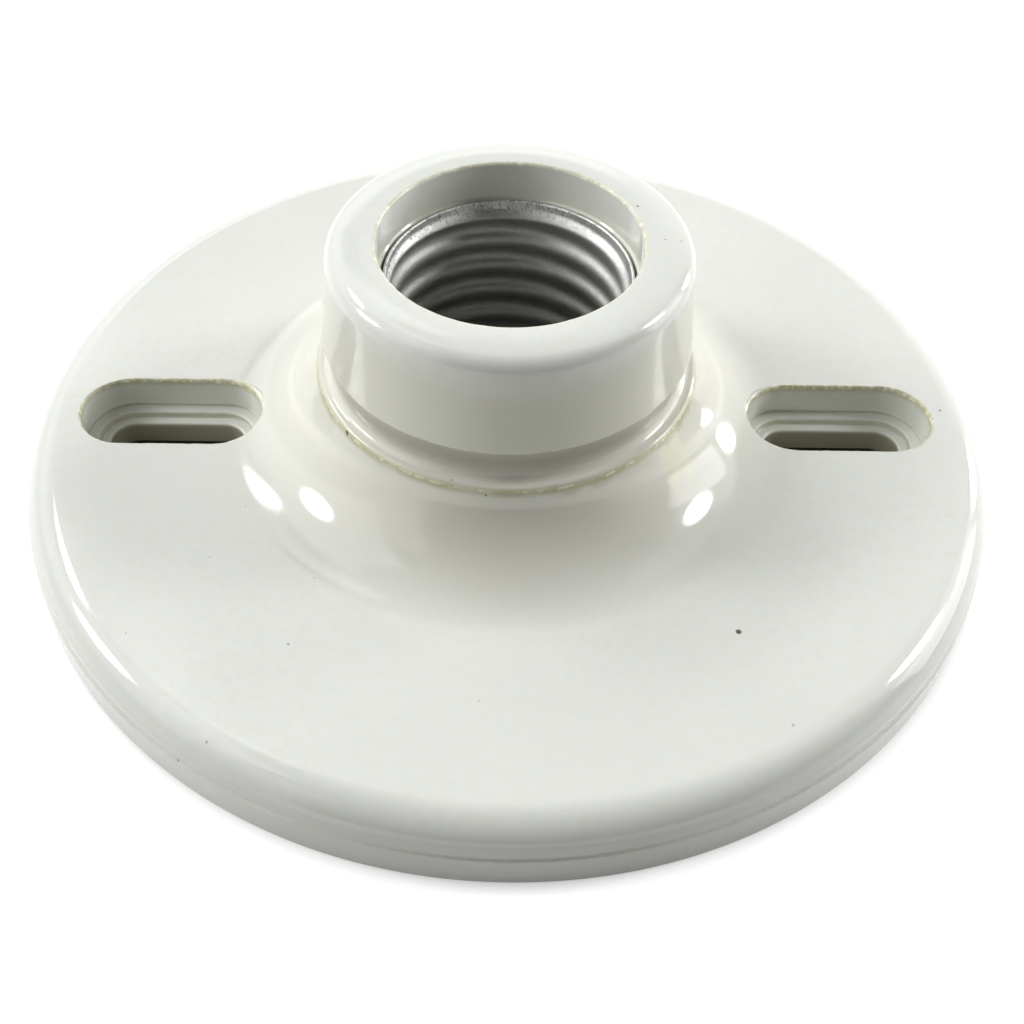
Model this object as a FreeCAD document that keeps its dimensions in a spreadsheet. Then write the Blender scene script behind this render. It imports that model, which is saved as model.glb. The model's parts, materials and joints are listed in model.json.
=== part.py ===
"""Keyless porcelain lampholder for a ceiling outlet box: one FreeCAD document.

The origin is at the middle of the face that meets the box, +Z runs out of the lamp's mouth, and the
two mounting slots lie along X.  All lengths are millimetres.
"""
import FreeCAD, Part
import math
import os

import Sketcher
from FreeCAD import Placement, Rotation, Vector

# Driving dimensions, alias: value
SIZES = {
    # porcelain body, outside
    "rim_radius": 57.15,            # 4 1/2 inch disc
    "rim_chamfer": 0.4,             # foot edge, wiped free of glaze
    "band_height": 4.2,             # lower band, up to the mould's parting step
    "parting_step": 0.25,           # how far the wall stands back above the band
    "wall_height": 6.1,             # where the wall turns into the rounded shoulder
    "shoulder_width": 3.7,          # how far the shoulder reaches in
    "disc_height": 8.7,             # flat top of the disc
    "flare_radius": 12.0,           # concave sweep from the disc up to the neck
    "neck_radius": 21.7,            # sharp edge at the top of the flare
    "neck_height": 17.8,
    "ledge_round": 0.5,             # the ledge inside the neck's edge is a rounded bead
    "groove_fillet": 0.9,
    "groove_depth": 0.7,            # undercut groove below the collar
    "collar_foot": 22.6,
    "collar_draft": 5.8,            # degrees, the collar widens towards its foot
    "collar_wall": 5.61,            # porcelain between the mouth and the collar's top
    "collar_height": 34.1,
    "lip_round": 2.0,
    "mouth_chamfer": 0.2,
    # porcelain body, cup for the screw shell
    "mouth_clearance": 0.59,        # radial, round the shell's top edge
    "cup_clearance": 0.35,          # radial, round the shell further down
    "cup_floor": 8.0,
    # porcelain body, underside
    "skirt_width": 5.6,             # ring that meets the box
    "skirt_draft": 0.5,
    "recess_height": 3.0,
    "well_radius": 26.0,
    "well_height": 4.6,
    "recess_round": 1.2,
    "core_inner_radius": 17.5,      # two cored pockets beside the cup
    "core_outer_radius": 24.0,
    "core_height": 8.6,
    "core_half_angle": 48.0,        # degrees
    # mounting slots
    "slot_spacing": 80.5,           # centre to centre
    "slot_head_length": 21.9,
    "slot_head_width": 11.0,
    "slot_head_depth": 4.05,
    "slot_ledge": 1.5,
    "slot_step_depth": 0.8,
    "slot_step_width": 1.2,
    "slot_pad_wall": 2.8,           # porcelain pad round each slot, on the underside
    "slot_pad_height": 0.8,
    # screw shell
    "thread_radius": 13.35,         # inside, at the thread's widest
    "thread_pitch": 3.629,          # 7 threads per inch
    "knuckle_radius": 1.191,        # crest and root arcs
    "shell_sheet": 0.35,
    "shell_height": 21.6,
    "shell_lip": 0.7,               # plain band at the top edge
    "shell_run_out": 1.1,           # length over which the thread fades
    "shell_corner": 0.8,            # inside radius between wall and floor
    "shell_floor_hole": 6.5,
    # screws that hold the shell, and the terminals' screws
    "shell_screw_radius": 1.73,
    "shell_screw_circle": 9.2,      # from the axis
    "shell_screw_angle": 40.0,      # degrees from the X axis, on the neutral side
    "shell_screw_head_radius": 2.5,
    "shell_screw_head_height": 1.6,
    "shell_screw_tip": 0.9,         # what stands out below the terminal
    "terminal_screw_radius": 2.08,
    "terminal_screw_head_radius": 4.0,
    "terminal_screw_head_height": 2.2,
    "terminal_screw_length": 5.8,
    "terminal_screw_place": 19.3,   # from the axis
    "driver_slot_width": 1.1,
    "driver_slot_depth": 0.9,
    "screw_edge": 0.5,              # rounding of each head's rim
    "screw_tip_taper": 0.3,         # chamfer at a screw's tip, as a share of its radius
    # terminals
    "strap_sheet": 0.9,
    "strap_width": 8.0,
    "strap_wire_gap": 0.2,          # between the screw's head and the turned-down end's bend
    "strap_lip": 1.2,               # turned-down end that keeps the wire in
    "strap_bend": 0.6,              # inside radius of that bend
    "strap_channel": 0.6,           # how deep the porcelain holds the strap
    "strap_clearance": 0.15,
    "strap_collar_wall": 0.8,       # extruded rim that carries the thread
    "strap_collar_height": 1.2,
    "neutral_bar_margin": 3.1,      # plate beyond the shell screws' centres
    "hot_strap_margin": 3.2,        # plate beyond the rivet's centre
    # centre contact and its rivet
    "contact_sheet": 0.5,
    "contact_width": 5.0,
    "contact_bend": 1.3,            # inside radius
    "contact_bend_place": 3.4,      # from the axis, on the neutral side
    "contact_margin": 2.4,          # leaf beyond the rivet's centre
    "contact_tip_rise": 0.9,        # spring set of the tongue
    "rivet_place": 3.0,             # from the axis, on the live side
    "rivet_radius": 1.45,
    "rivet_head_radius": 2.2,
    "rivet_head_height": 0.75,
    # clearances
    "fit_clearance": 0.05,          # radial, a thread in its tapped hole
    "hole_clearance": 0.4,          # radial, a screw in a plain hole
    "tip_clearance": 0.8,           # beyond a screw's tip
}

# Places worked out from the sizes
def cell(alias):
    """The sheet's name for one driving dimension."""
    return "Sizes." + alias


SHELL_OUTER = "(Sizes.thread_radius + Sizes.shell_sheet)"
SHELL_TOP = "(Sizes.cup_floor + Sizes.shell_height)"
MOUTH_RADIUS = f"({SHELL_OUTER} + Sizes.mouth_clearance)"
CUP_RADIUS = f"({SHELL_OUTER} + Sizes.cup_clearance)"
COLLAR_RADIUS = f"({MOUTH_RADIUS} + Sizes.collar_wall)"
DRAFT = "(Sizes.collar_draft * 1deg)"
# where the lip's arc runs into the collar's drafted face
DRAFT_EDGE = f"({COLLAR_RADIUS} - Sizes.lip_round * (1 - cos({DRAFT})))"
DRAFT_TOP = f"(Sizes.collar_height - Sizes.lip_round * (1 - sin({DRAFT})))"
FOOT_RADIUS = f"({DRAFT_EDGE} + ({DRAFT_TOP} - Sizes.collar_foot) * tan({DRAFT}))"
GROOVE_RADIUS = f"({FOOT_RADIUS} - Sizes.groove_depth)"
WALL_RADIUS = "(Sizes.rim_radius - Sizes.parting_step)"
SHOULDER_EDGE = f"({WALL_RADIUS} - Sizes.shoulder_width)"
SHOULDER_RISE = "(Sizes.disc_height - Sizes.wall_height)"
# circle through the wall's top that leaves the disc's top face without a corner
SHOULDER_RADIUS = f"(({SHOULDER_RISE}^2 + Sizes.shoulder_width^2) / (2 * {SHOULDER_RISE}))"
FLARE_DROP = "(Sizes.disc_height + Sizes.flare_radius - Sizes.neck_height)"
FLARE_FOOT = f"(Sizes.neck_radius + sqrt(Sizes.flare_radius^2 - {FLARE_DROP}^2))"
SKIRT_INNER = "(Sizes.rim_radius - Sizes.skirt_width)"
STRAP_TOP = "(Sizes.well_height + Sizes.strap_channel)"
STRAP_BOTTOM = f"({STRAP_TOP} - Sizes.strap_sheet)"
STRAP_CORNER = "(Sizes.terminal_screw_place + Sizes.terminal_screw_head_radius + Sizes.strap_wire_gap)"
STRAP_END = f"({STRAP_CORNER} + Sizes.strap_bend + Sizes.strap_sheet)"
SLOT_PLACE = "(Sizes.slot_spacing / 2)"
SHELL_FLOOR_TOP = "(Sizes.cup_floor + Sizes.shell_sheet)"
SHELL_SCREW_X = "(Sizes.shell_screw_circle * cos(Sizes.shell_screw_angle * 1deg))"
SHELL_SCREW_Y = "(Sizes.shell_screw_circle * sin(Sizes.shell_screw_angle * 1deg))"
CONTACT_TOP = "(Sizes.cup_floor + Sizes.contact_sheet)"
RUN_PAST = "1"                              # how far a cut or pad runs on beyond the face it meets
NOTHING = 1e-6                              # volumes and heights this close are the same
LIVE_SIDE, NEUTRAL_SIDE = 0.0, 180.0        # the terminals' turn about Z, degrees

doc = FreeCAD.newDocument("lampholder")
sheet = doc.addObject("Spreadsheet::Sheet", "Sizes")
for row, (alias, size) in enumerate(SIZES.items(), start=1):
    sheet.set(f"A{row}", alias)
    sheet.set(f"B{row}", str(size))
    sheet.setAlias(f"B{row}", alias)
doc.recompute()


def value(expression):
    """The number an expression on the sheet stands for now."""
    result = sheet.evalExpression(expression)
    return float(getattr(result, "Value", result))


# Sketch and feature helpers
def new_body(label):
    body = doc.addObject("PartDesign::Body", label)
    body.Label = label
    return body


def new_sketch(body, plane, name, height=None):
    """A sketch on one of the body's own origin planes, raised along the plane's normal."""
    sketch = body.newObject("Sketcher::SketchObject", name)
    support = next(item for item in body.Origin.OriginFeatures if item.Role == plane)
    sketch.AttachmentSupport = [(support, "")]
    sketch.MapMode = "FlatFace"
    if height is not None:
        sketch.setExpression("AttachmentOffset.Base.z", height)
    return sketch


def bind(sketch, kind, *where, to):
    """A dimension of the sketch that follows an expression on the sheet."""
    index = sketch.addConstraint(Sketcher.Constraint(kind, *where, value(to)))
    sketch.setExpression(f"Constraints[{index}]", to)


def place_point(sketch, edge, end, x, y):
    """Fix one end of an edge at (x, y), both expressions; "0" puts it on the axis."""
    for kind, expression, axis in (("DistanceX", x, -2), ("DistanceY", y, -1)):
        if expression == "0":
            sketch.addConstraint(Sketcher.Constraint("PointOnObject", edge, end, axis))
        else:
            bind(sketch, kind, -1, 1, edge, end, to=expression)


def outline(sketch, corners):
    """A closed outline.  Each corner is (x, y) or (x, y, radius, turn): then an arc of that radius
    leads to the next corner, anticlockwise for turn 1 and clockwise for turn -1."""
    points = [Vector(value(corner[0]), value(corner[1]), 0) for corner in corners]
    ends = []
    for index, corner in enumerate(corners):
        here, there = points[index], points[(index + 1) % len(points)]
        if len(corner) == 2:
            edge = sketch.addGeometry(Part.LineSegment(here, there))
            ends.append((edge, 1, 2))
            continue
        radius, turn = value(corner[2]), corner[3]
        chord = there - here
        apothem = math.sqrt(radius ** 2 - (chord.Length / 2) ** 2)
        aside = Vector(-chord.y, chord.x, 0).normalize() * apothem * turn
        centre = (here + there) / 2 + aside
        first, last = (here, there) if turn > 0 else (there, here)
        start, finish = (math.atan2(p.y - centre.y, p.x - centre.x) for p in (first, last))
        circle = Part.Circle(centre, Vector(0, 0, 1), radius)
        edge = sketch.addGeometry(Part.ArcOfCircle(circle, start, finish))
        bind(sketch, "Radius", edge, to=corner[2])
        ends.append((edge, 1, 2) if turn > 0 else (edge, 2, 1))
    for index, corner in enumerate(corners):
        before, now = ends[index - 1], ends[index]
        sketch.addConstraint(Sketcher.Constraint("Coincident", before[0], before[2], now[0], now[1]))
        place_point(sketch, now[0], now[1], corner[0], corner[1])


def circle(sketch, x, y, radius):
    centre = Vector(value(x), value(y), 0)
    edge = sketch.addGeometry(Part.Circle(centre, Vector(0, 0, 1), value(radius)))
    place_point(sketch, edge, 3, x, y)
    bind(sketch, "Radius", edge, to=radius)


def stadium(sketch, x, length, width):
    """A slot outline on the sketch's X axis: two half circles joined by two straight sides."""
    reach = f"(({length}) - ({width})) / 2"
    radius = f"({width}) / 2"
    middle, half, r = value(x), value(reach), value(radius)
    up = Vector(0, 0, 1)
    right = sketch.addGeometry(Part.ArcOfCircle(
        Part.Circle(Vector(middle + half, 0, 0), up, r), -math.pi / 2, math.pi / 2))
    top = sketch.addGeometry(Part.LineSegment(
        Vector(middle + half, r, 0), Vector(middle - half, r, 0)))
    left = sketch.addGeometry(Part.ArcOfCircle(
        Part.Circle(Vector(middle - half, 0, 0), up, r), math.pi / 2, 3 * math.pi / 2))
    low = sketch.addGeometry(Part.LineSegment(
        Vector(middle - half, -r, 0), Vector(middle + half, -r, 0)))
    for before, after in ((right, top), (top, left), (left, low), (low, right)):
        sketch.addConstraint(Sketcher.Constraint("Tangent", before, 2, after, 1))
    sketch.addConstraint(Sketcher.Constraint("Equal", right, left))
    bind(sketch, "Radius", right, to=radius)
    place_point(sketch, right, 3, f"({x}) + {reach}", "0")
    place_point(sketch, left, 3, f"({x}) - {reach}", "0")


def revolve(body, sketch, name):
    feature = body.newObject("PartDesign::Revolution", name)
    feature.Profile = sketch
    feature.ReferenceAxis = (sketch, ["V_Axis"])
    feature.Angle = 360.0
    doc.recompute()
    return feature


def pad(body, sketch, name, length, midplane=False):
    """Material along the sketch's normal."""
    feature = body.newObject("PartDesign::Pad", name)
    feature.Profile = sketch
    feature.Midplane = midplane
    feature.setExpression("Length", length)
    doc.recompute()
    return feature


def pocket(body, sketch, name, depth, upwards=False):
    """A cut of one depth from the sketch's plane: down the normal, or up it."""
    before = body.Shape.Volume
    feature = body.newObject("PartDesign::Pocket", name)
    feature.Profile = sketch
    feature.Reversed = upwards
    feature.setExpression("Length", depth)
    doc.recompute()
    if body.Shape.Volume > before - NOTHING:
        raise RuntimeError(f"{body.Label}: {name} cuts nothing")
    return feature


def opposite(body, feature, name):
    """The same feature once more, half a turn about Z."""
    before = body.Shape.Volume
    pattern = body.newObject("PartDesign::PolarPattern", name)
    pattern.Originals = [feature]
    axis = next(item for item in body.Origin.OriginFeatures if item.Role == "Z_Axis")
    pattern.Axis = (axis, [""])
    pattern.Angle = 360.0
    pattern.Occurrences = 2
    body.Tip = pattern
    doc.recompute()
    if abs(body.Shape.Volume - before) < NOTHING:
        raise RuntimeError(f"{body.Label}: {name} changes nothing")
    return pattern


def move(body, x="0", y="0", z="0", turn=0.0):
    """Place a body: a turn about Z in degrees, then a shift given by expressions."""
    body.Placement = Placement(Vector(value(x), value(y), value(z)), Rotation(Vector(0, 0, 1), turn))
    for axis, expression in zip("xyz", (x, y, z)):
        if expression != "0":
            body.setExpression(f"Placement.Base.{axis}", expression)


# Porcelain
def porcelain_profile(body):
    """Half section of everything that is round about the lamp's axis."""
    lip, chamfer, round_ = cell("lip_round"), cell("mouth_chamfer"), cell("recess_round")
    top, foot = cell("collar_height"), cell("rim_chamfer")
    bead, fillet = cell("ledge_round"), cell("groove_fillet")
    ledge = f"(Sizes.neck_height + {bead})"
    sketch = new_sketch(body, "XZ_Plane", "half_section")
    outline(sketch, [
        ("0", cell("well_height")),
        (cell("well_radius"), cell("well_height")),
        (cell("well_radius"), cell("recess_height")),
        (f"{SKIRT_INNER} - {round_}", cell("recess_height"), round_, -1),
        (SKIRT_INNER, f"Sizes.recess_height - {round_}"),
        (f"{SKIRT_INNER} + Sizes.skirt_draft", "0"),
        (f"Sizes.rim_radius - {foot}", "0"),
        (cell("rim_radius"), foot),
        (cell("rim_radius"), cell("band_height")),
        (WALL_RADIUS, "Sizes.band_height + Sizes.parting_step"),
        (WALL_RADIUS, cell("wall_height"), SHOULDER_RADIUS, 1),
        (SHOULDER_EDGE, cell("disc_height")),
        (FLARE_FOOT, cell("disc_height"), cell("flare_radius"), -1),
        (cell("neck_radius"), cell("neck_height"), bead, 1),
        (f"Sizes.neck_radius - {bead}", ledge),
        (f"{GROOVE_RADIUS} + {fillet}", ledge, fillet, -1),
        (GROOVE_RADIUS, f"{ledge} + {fillet}"),
        (GROOVE_RADIUS, "Sizes.collar_foot - Sizes.groove_depth"),
        (FOOT_RADIUS, cell("collar_foot")),
        (DRAFT_EDGE, DRAFT_TOP, lip, 1),
        (f"{COLLAR_RADIUS} - {lip}", top),
        (f"{MOUTH_RADIUS} + {chamfer}", top),
        (MOUTH_RADIUS, f"{top} - {chamfer}"),
        (MOUTH_RADIUS, SHELL_TOP),
        (CUP_RADIUS, f"{SHELL_TOP} - (Sizes.mouth_clearance - Sizes.cup_clearance)"),
        (CUP_RADIUS, cell("cup_floor")),
        ("0", cell("cup_floor")),
    ])
    return sketch


def slot_pads(body):
    """Thick pads under the plate, so that a screw's head can bear on the slot's ledge."""
    wall = cell("slot_pad_wall")
    sketch = new_sketch(body, "XY_Plane", "pad_outline", cell("slot_pad_height"))
    stadium(sketch, SLOT_PLACE, f"Sizes.slot_head_length + 2 * {wall}",
            f"Sizes.slot_head_width + 2 * {wall}")
    thickness = f"Sizes.recess_height - Sizes.slot_pad_height + {RUN_PAST}"
    opposite(body, pad(body, sketch, "slot_pad", thickness), "slot_pads")


def slot_cuts(body):
    """Three steps of each slot: room for the screw's head, the ledge's step, the way through."""
    floor = "(Sizes.disc_height - Sizes.slot_head_depth)"
    inset = "(Sizes.slot_ledge + Sizes.slot_step_width)"
    steps = (
        ("head_recess", "Sizes.disc_height", "0", cell("slot_head_depth")),
        ("ledge_step", floor, cell("slot_ledge"), cell("slot_step_depth")),
        ("through_slot", floor, inset, f"{floor} - Sizes.slot_pad_height"),
    )
    for name, height, margin, depth in steps:
        sketch = new_sketch(body, "XY_Plane", name + "_outline", height)
        stadium(sketch, SLOT_PLACE, f"Sizes.slot_head_length - 2 * {margin}",
                f"Sizes.slot_head_width - 2 * {margin}")
        opposite(body, pocket(body, sketch, name, depth), name + "s")


def cored_pockets(body):
    """Hollows between the cup and the slots, so that the wall dries and fires evenly."""
    inner, outer = cell("core_inner_radius"), cell("core_outer_radius")
    along = "cos(Sizes.core_half_angle * 1deg)"
    across = "sin(Sizes.core_half_angle * 1deg)"
    sketch = new_sketch(body, "XY_Plane", "core_outline", cell("well_height"))
    outline(sketch, [
        (f"{outer} * {along}", f"-{outer} * {across}", outer, 1),
        (f"{outer} * {along}", f"{outer} * {across}"),
        (f"{inner} * {along}", f"{inner} * {across}", inner, -1),
        (f"{inner} * {along}", f"-{inner} * {across}"),
    ])
    cut = pocket(body, sketch, "cored_pocket", "Sizes.core_height - Sizes.well_height", upwards=True)
    opposite(body, cut, "cored_pockets")


def strap_channels(body):
    """Shallow channels that stop the terminals turning."""
    gap = cell("strap_clearance")
    half = f"(Sizes.strap_width / 2 + {gap})"
    end = f"({STRAP_END} + {gap})"
    start = f"(Sizes.rivet_place - Sizes.hot_strap_margin - {gap})"
    sketch = new_sketch(body, "XY_Plane", "live_channel_outline", cell("well_height"))
    outline(sketch, [(f"-{half}", start), (half, start), (half, end), (f"-{half}", end)])
    pocket(body, sketch, "live_channel", cell("strap_channel"), upwards=True)

    bar = f"({SHELL_SCREW_X} + Sizes.neutral_bar_margin + {gap})"
    near = f"({SHELL_SCREW_Y} - Sizes.neutral_bar_margin - {gap})"
    far = f"({SHELL_SCREW_Y} + Sizes.neutral_bar_margin + {gap})"
    sketch = new_sketch(body, "XY_Plane", "neutral_channel_outline", cell("well_height"))
    outline(sketch, [
        (f"-{half}", f"-{end}"), (half, f"-{end}"), (half, f"-{far}"), (bar, f"-{far}"),
        (bar, f"-{near}"), (f"-{bar}", f"-{near}"), (f"-{bar}", f"-{far}"), (f"-{half}", f"-{far}"),
    ])
    pocket(body, sketch, "neutral_channel", cell("strap_channel"), upwards=True)


def fastener_holes(body):
    """Plain holes in the cup's floor, and blind bores that the terminal screws run up into."""
    floor = f"Sizes.cup_floor - {STRAP_TOP} + {RUN_PAST}"
    sketch = new_sketch(body, "XY_Plane", "floor_hole_centres", "Sizes.cup_floor")
    shell_hole = "Sizes.shell_screw_radius + Sizes.hole_clearance"
    circle(sketch, SHELL_SCREW_X, f"-{SHELL_SCREW_Y}", shell_hole)
    circle(sketch, f"-{SHELL_SCREW_X}", f"-{SHELL_SCREW_Y}", shell_hole)
    circle(sketch, "0", cell("rivet_place"), "Sizes.rivet_radius + Sizes.hole_clearance")
    pocket(body, sketch, "floor_holes", floor)

    sketch = new_sketch(body, "XY_Plane", "terminal_bore_centres", STRAP_TOP)
    bore = (f"Sizes.terminal_screw_radius + Sizes.fit_clearance + Sizes.strap_collar_wall"
            f" + Sizes.strap_clearance")
    circle(sketch, "0", cell("terminal_screw_place"), bore)
    circle(sketch, "0", "-" + cell("terminal_screw_place"), bore)
    depth = "Sizes.terminal_screw_length - Sizes.strap_sheet + Sizes.tip_clearance"
    pocket(body, sketch, "terminal_bores", depth, upwards=True)


def porcelain_body():
    """One pressed and glazed piece: disc, flared neck, collar and cup."""
    body = new_body("porcelain_body")
    revolve(body, porcelain_profile(body), "turned_form")
    slot_pads(body)
    slot_cuts(body)
    cored_pockets(body)
    strap_channels(body)
    fastener_holes(body)
    return body


# Screw shell
TURN_POLES = 30                             # control points round the shell
PITCH_POLES = 12                            # control rows to one turn of the thread
CORNER_POLES = 4                            # control rows round the corner into the floor


def smooth_step(t):
    t = min(1.0, max(0.0, t))
    return t * t * (3 - 2 * t)


def knuckle_wave(turns, pitch, arc):
    """Depth below the crest, `turns` of a pitch away from it, and the slope there.

    Crest and root are arcs of one radius that meet half way down, where q is the distance from the
    nearest crest: depth = arc - sqrt(arc^2 - q^2) near it, and the same turned over near the root.
    """
    offset = (turns + 0.5) % 1.0 - 0.5
    q, side = abs(offset) * pitch, math.copysign(1.0, offset)
    full = 2 * (arc - math.sqrt(arc ** 2 - (pitch / 4) ** 2))
    if q <= pitch / 4:
        height = math.sqrt(arc ** 2 - q ** 2)
        return arc - height, side * q / height
    w = pitch / 2 - q
    height = math.sqrt(arc ** 2 - w ** 2)
    return full - arc + height, side * w / height


def shell_section(theta, sheet_offset):
    """Points (r, z) down the shell's wall at one angle, on the inside or a sheet's thickness out.

    r(theta, z) = crest - fade(z) * wave(z / pitch - theta / 2 pi) - (1 - fade(z)) * mean depth,
    then a quarter circle into the floor.  Each point is moved out along the wall's normal.
    """
    pitch, arc = value("Sizes.thread_pitch"), value("Sizes.knuckle_radius")
    crest, top = value("Sizes.thread_radius"), value(SHELL_TOP)
    lip, run = value("Sizes.shell_lip"), value("Sizes.shell_run_out")
    corner, floor = value("Sizes.shell_corner"), value(SHELL_FLOOR_TOP)
    mean = arc - math.sqrt(arc ** 2 - (pitch / 4) ** 2)
    section = []

    start, stop = top - lip, floor + corner
    rows = round((start - stop) / pitch * PITCH_POLES)
    for z in (top, top - lip / 2):
        section.append((crest + sheet_offset, z))
    for row in range(rows + 1):
        z = start - (start - stop) * row / rows
        depth, slope = knuckle_wave((z - start) / pitch - theta / (2 * math.pi), pitch, arc)
        upper = smooth_step((start - z) / run)
        lower = smooth_step((z - stop) / run)
        drop = upper * (lower * depth + (1 - lower) * mean)
        tilt = upper * lower * slope
        length = math.hypot(1.0, tilt)
        section.append((crest - drop + sheet_offset / length, z + sheet_offset * tilt / length))
    centre = crest - mean - corner
    for step in range(1, CORNER_POLES + 1):
        angle = math.pi / 2 * step / CORNER_POLES
        reach = corner + sheet_offset
        section.append((centre + reach * math.cos(angle), floor + corner - reach * math.sin(angle)))
    section.append((centre - corner / 2, floor - sheet_offset))
    return section


def shell_face(sheet_offset):
    """Periodic cubic surface over the control points of one side of the sheet."""
    # a cubic curve through n points round a circle draws them in by this share
    draw_in = (2 + math.cos(2 * math.pi / TURN_POLES)) / 3
    poles = []
    for index in range(TURN_POLES):
        theta = 2 * math.pi * index / TURN_POLES
        poles.append([Vector(r / draw_in * math.cos(theta), r / draw_in * math.sin(theta), z)
                      for r, z in shell_section(theta, sheet_offset)])
    count = len(poles[0])
    surface = Part.BSplineSurface()
    surface.buildFromPolesMultsKnots(
        poles, [1] * (TURN_POLES + 1), [4] + [1] * (count - 4) + [4],
        [float(k) for k in range(TURN_POLES + 1)], [float(k) for k in range(count - 2)],
        True, False, 3, 3)
    return surface.toShape()


def end_loops(face):
    """The face's closed edges, the highest first."""
    loops = [edge for edge in face.Edges if edge.isClosed() and edge.BoundBox.ZLength < NOTHING]
    return sorted(loops, key=lambda edge: -edge.BoundBox.ZMin)


def screw_shell():
    """Rolled sheet-metal shell with the lamp's thread: a closed solid of sheet, then its holes."""
    outer, inner = shell_face(value("Sizes.shell_sheet")), shell_face(0.0)
    outer_top, outer_floor = end_loops(outer)
    inner_top, inner_floor = end_loops(inner)
    loops = [Part.Wire([outer_top]), Part.Wire([inner_top])]
    edge_ring = Part.makeFace(loops, "Part::FaceMakerBullseye")
    under, over = Part.Face(Part.Wire([outer_floor])), Part.Face(Part.Wire([inner_floor]))
    skin = Part.makeShell([outer, inner, edge_ring, under, over])
    skin.sewShape()
    solid = Part.Solid(skin)
    if solid.Volume < 0:
        solid.reverse()
    wall = doc.addObject("Part::Feature", "rolled_wall")
    wall.Shape = solid

    centre = doc.addObject("Part::Cylinder", "centre_hole")
    centre.setExpression("Radius", cell("shell_floor_hole"))
    cuts = [centre]
    for name, sign in (("left_screw_hole", "-"), ("right_screw_hole", "")):
        hole = doc.addObject("Part::Cylinder", name)
        hole.setExpression("Radius", "Sizes.shell_screw_radius + Sizes.hole_clearance / 2")
        hole.setExpression("Placement.Base.x", sign + SHELL_SCREW_X)
        hole.setExpression("Placement.Base.y", "-" + SHELL_SCREW_Y)
        cuts.append(hole)
    for hole in cuts:
        hole.setExpression("Placement.Base.z", "Sizes.cup_floor - Sizes.shell_sheet")
        hole.setExpression("Height", "3 * Sizes.shell_sheet")
    holes = doc.addObject("Part::MultiFuse", "shell_holes")
    holes.Shapes = cuts
    shell = doc.addObject("Part::Cut", "screw_shell")
    shell.Base, shell.Tool = wall, holes
    shell.Label = "screw_shell"
    return shell


# Metal pieces
def headed_screw(label, radius, length, head_radius, head_height, point_up):
    """A screw about Z whose head bears at z = 0, with a plain shank and a driver's slot."""
    edge, tip = cell("screw_edge"), f"({radius} * Sizes.screw_tip_taper)"
    shank, top = ("", "-") if point_up else ("-", "")
    turn = -1 if point_up else 1
    body = new_body(label)
    sketch = new_sketch(body, "XZ_Plane", "screw_section")
    outline(sketch, [
        ("0", f"{shank}({length})"),
        (f"{radius} - {tip}", f"{shank}({length})"),
        (radius, f"{shank}({length} - {tip})"),
        (radius, "0"),
        (head_radius, "0"),
        (head_radius, f"{top}({head_height} - {edge})", edge, turn),
        (f"{head_radius} - {edge}", f"{top}({head_height})"),
        ("0", f"{top}({head_height})"),
    ])
    revolve(body, sketch, "turned_screw")
    half, reach = "(Sizes.driver_slot_width / 2)", f"({head_radius} + {RUN_PAST})"
    sketch = new_sketch(body, "XY_Plane", "driver_slot_outline", f"{top}({head_height})")
    outline(sketch, [(f"-{reach}", f"-{half}"), (reach, f"-{half}"), (reach, half), (f"-{reach}", half)])
    pocket(body, sketch, "driver_slot", cell("driver_slot_depth"), upwards=point_up)
    return body


def shell_screw(label, side):
    """Holds the shell to the cup's floor and threads into the neutral terminal."""
    length = f"({SHELL_FLOOR_TOP} - {STRAP_BOTTOM} + Sizes.shell_screw_tip)"
    body = headed_screw(label, cell("shell_screw_radius"), length, cell("shell_screw_head_radius"),
                        cell("shell_screw_head_height"), point_up=False)
    move(body, x=side + SHELL_SCREW_X, y="-" + SHELL_SCREW_Y, z=SHELL_FLOOR_TOP)
    return body


def terminal_screw(label, side):
    """Clamps a wire under its head, against the terminal."""
    body = headed_screw(label, cell("terminal_screw_radius"), cell("terminal_screw_length"),
                        cell("terminal_screw_head_radius"), cell("terminal_screw_head_height"),
                        point_up=True)
    move(body, y=side + cell("terminal_screw_place"), z=STRAP_BOTTOM)
    return body


def terminal_strap(body, start):
    """The strap's side view, with its turned-down end, made as wide as the strap."""
    sheet_, bend = cell("strap_sheet"), cell("strap_bend")
    outer_bend = f"({bend} + {sheet_})"
    low = f"({STRAP_BOTTOM} - {bend})"
    lip = f"({low} - Sizes.strap_lip)"
    sketch = new_sketch(body, "YZ_Plane", "strap_side_view")
    outline(sketch, [
        (start, STRAP_BOTTOM),
        (STRAP_CORNER, STRAP_BOTTOM, bend, -1),
        (f"{STRAP_END} - {sheet_}", low),
        (f"{STRAP_END} - {sheet_}", lip),
        (STRAP_END, lip),
        (STRAP_END, low, outer_bend, 1),
        (STRAP_CORNER, STRAP_TOP),
        (start, STRAP_TOP),
    ])
    pad(body, sketch, "strap", cell("strap_width"), midplane=True)


def terminal_collar(body):
    """Extruded rim round the tapped hole, and the hole itself."""
    tapped = "(Sizes.terminal_screw_radius + Sizes.fit_clearance)"
    place = cell("terminal_screw_place")
    sketch = new_sketch(body, "XY_Plane", "collar_outline", STRAP_TOP)
    circle(sketch, "0", place, f"{tapped} + Sizes.strap_collar_wall")
    pad(body, sketch, "collar", cell("strap_collar_height"))
    rim = "Sizes.strap_collar_height"
    sketch = new_sketch(body, "XY_Plane", "tapped_hole_outline", f"{STRAP_TOP} + {rim}")
    circle(sketch, "0", place, tapped)
    pocket(body, sketch, "tapped_hole", f"Sizes.strap_sheet + {rim} + {RUN_PAST}")


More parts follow.
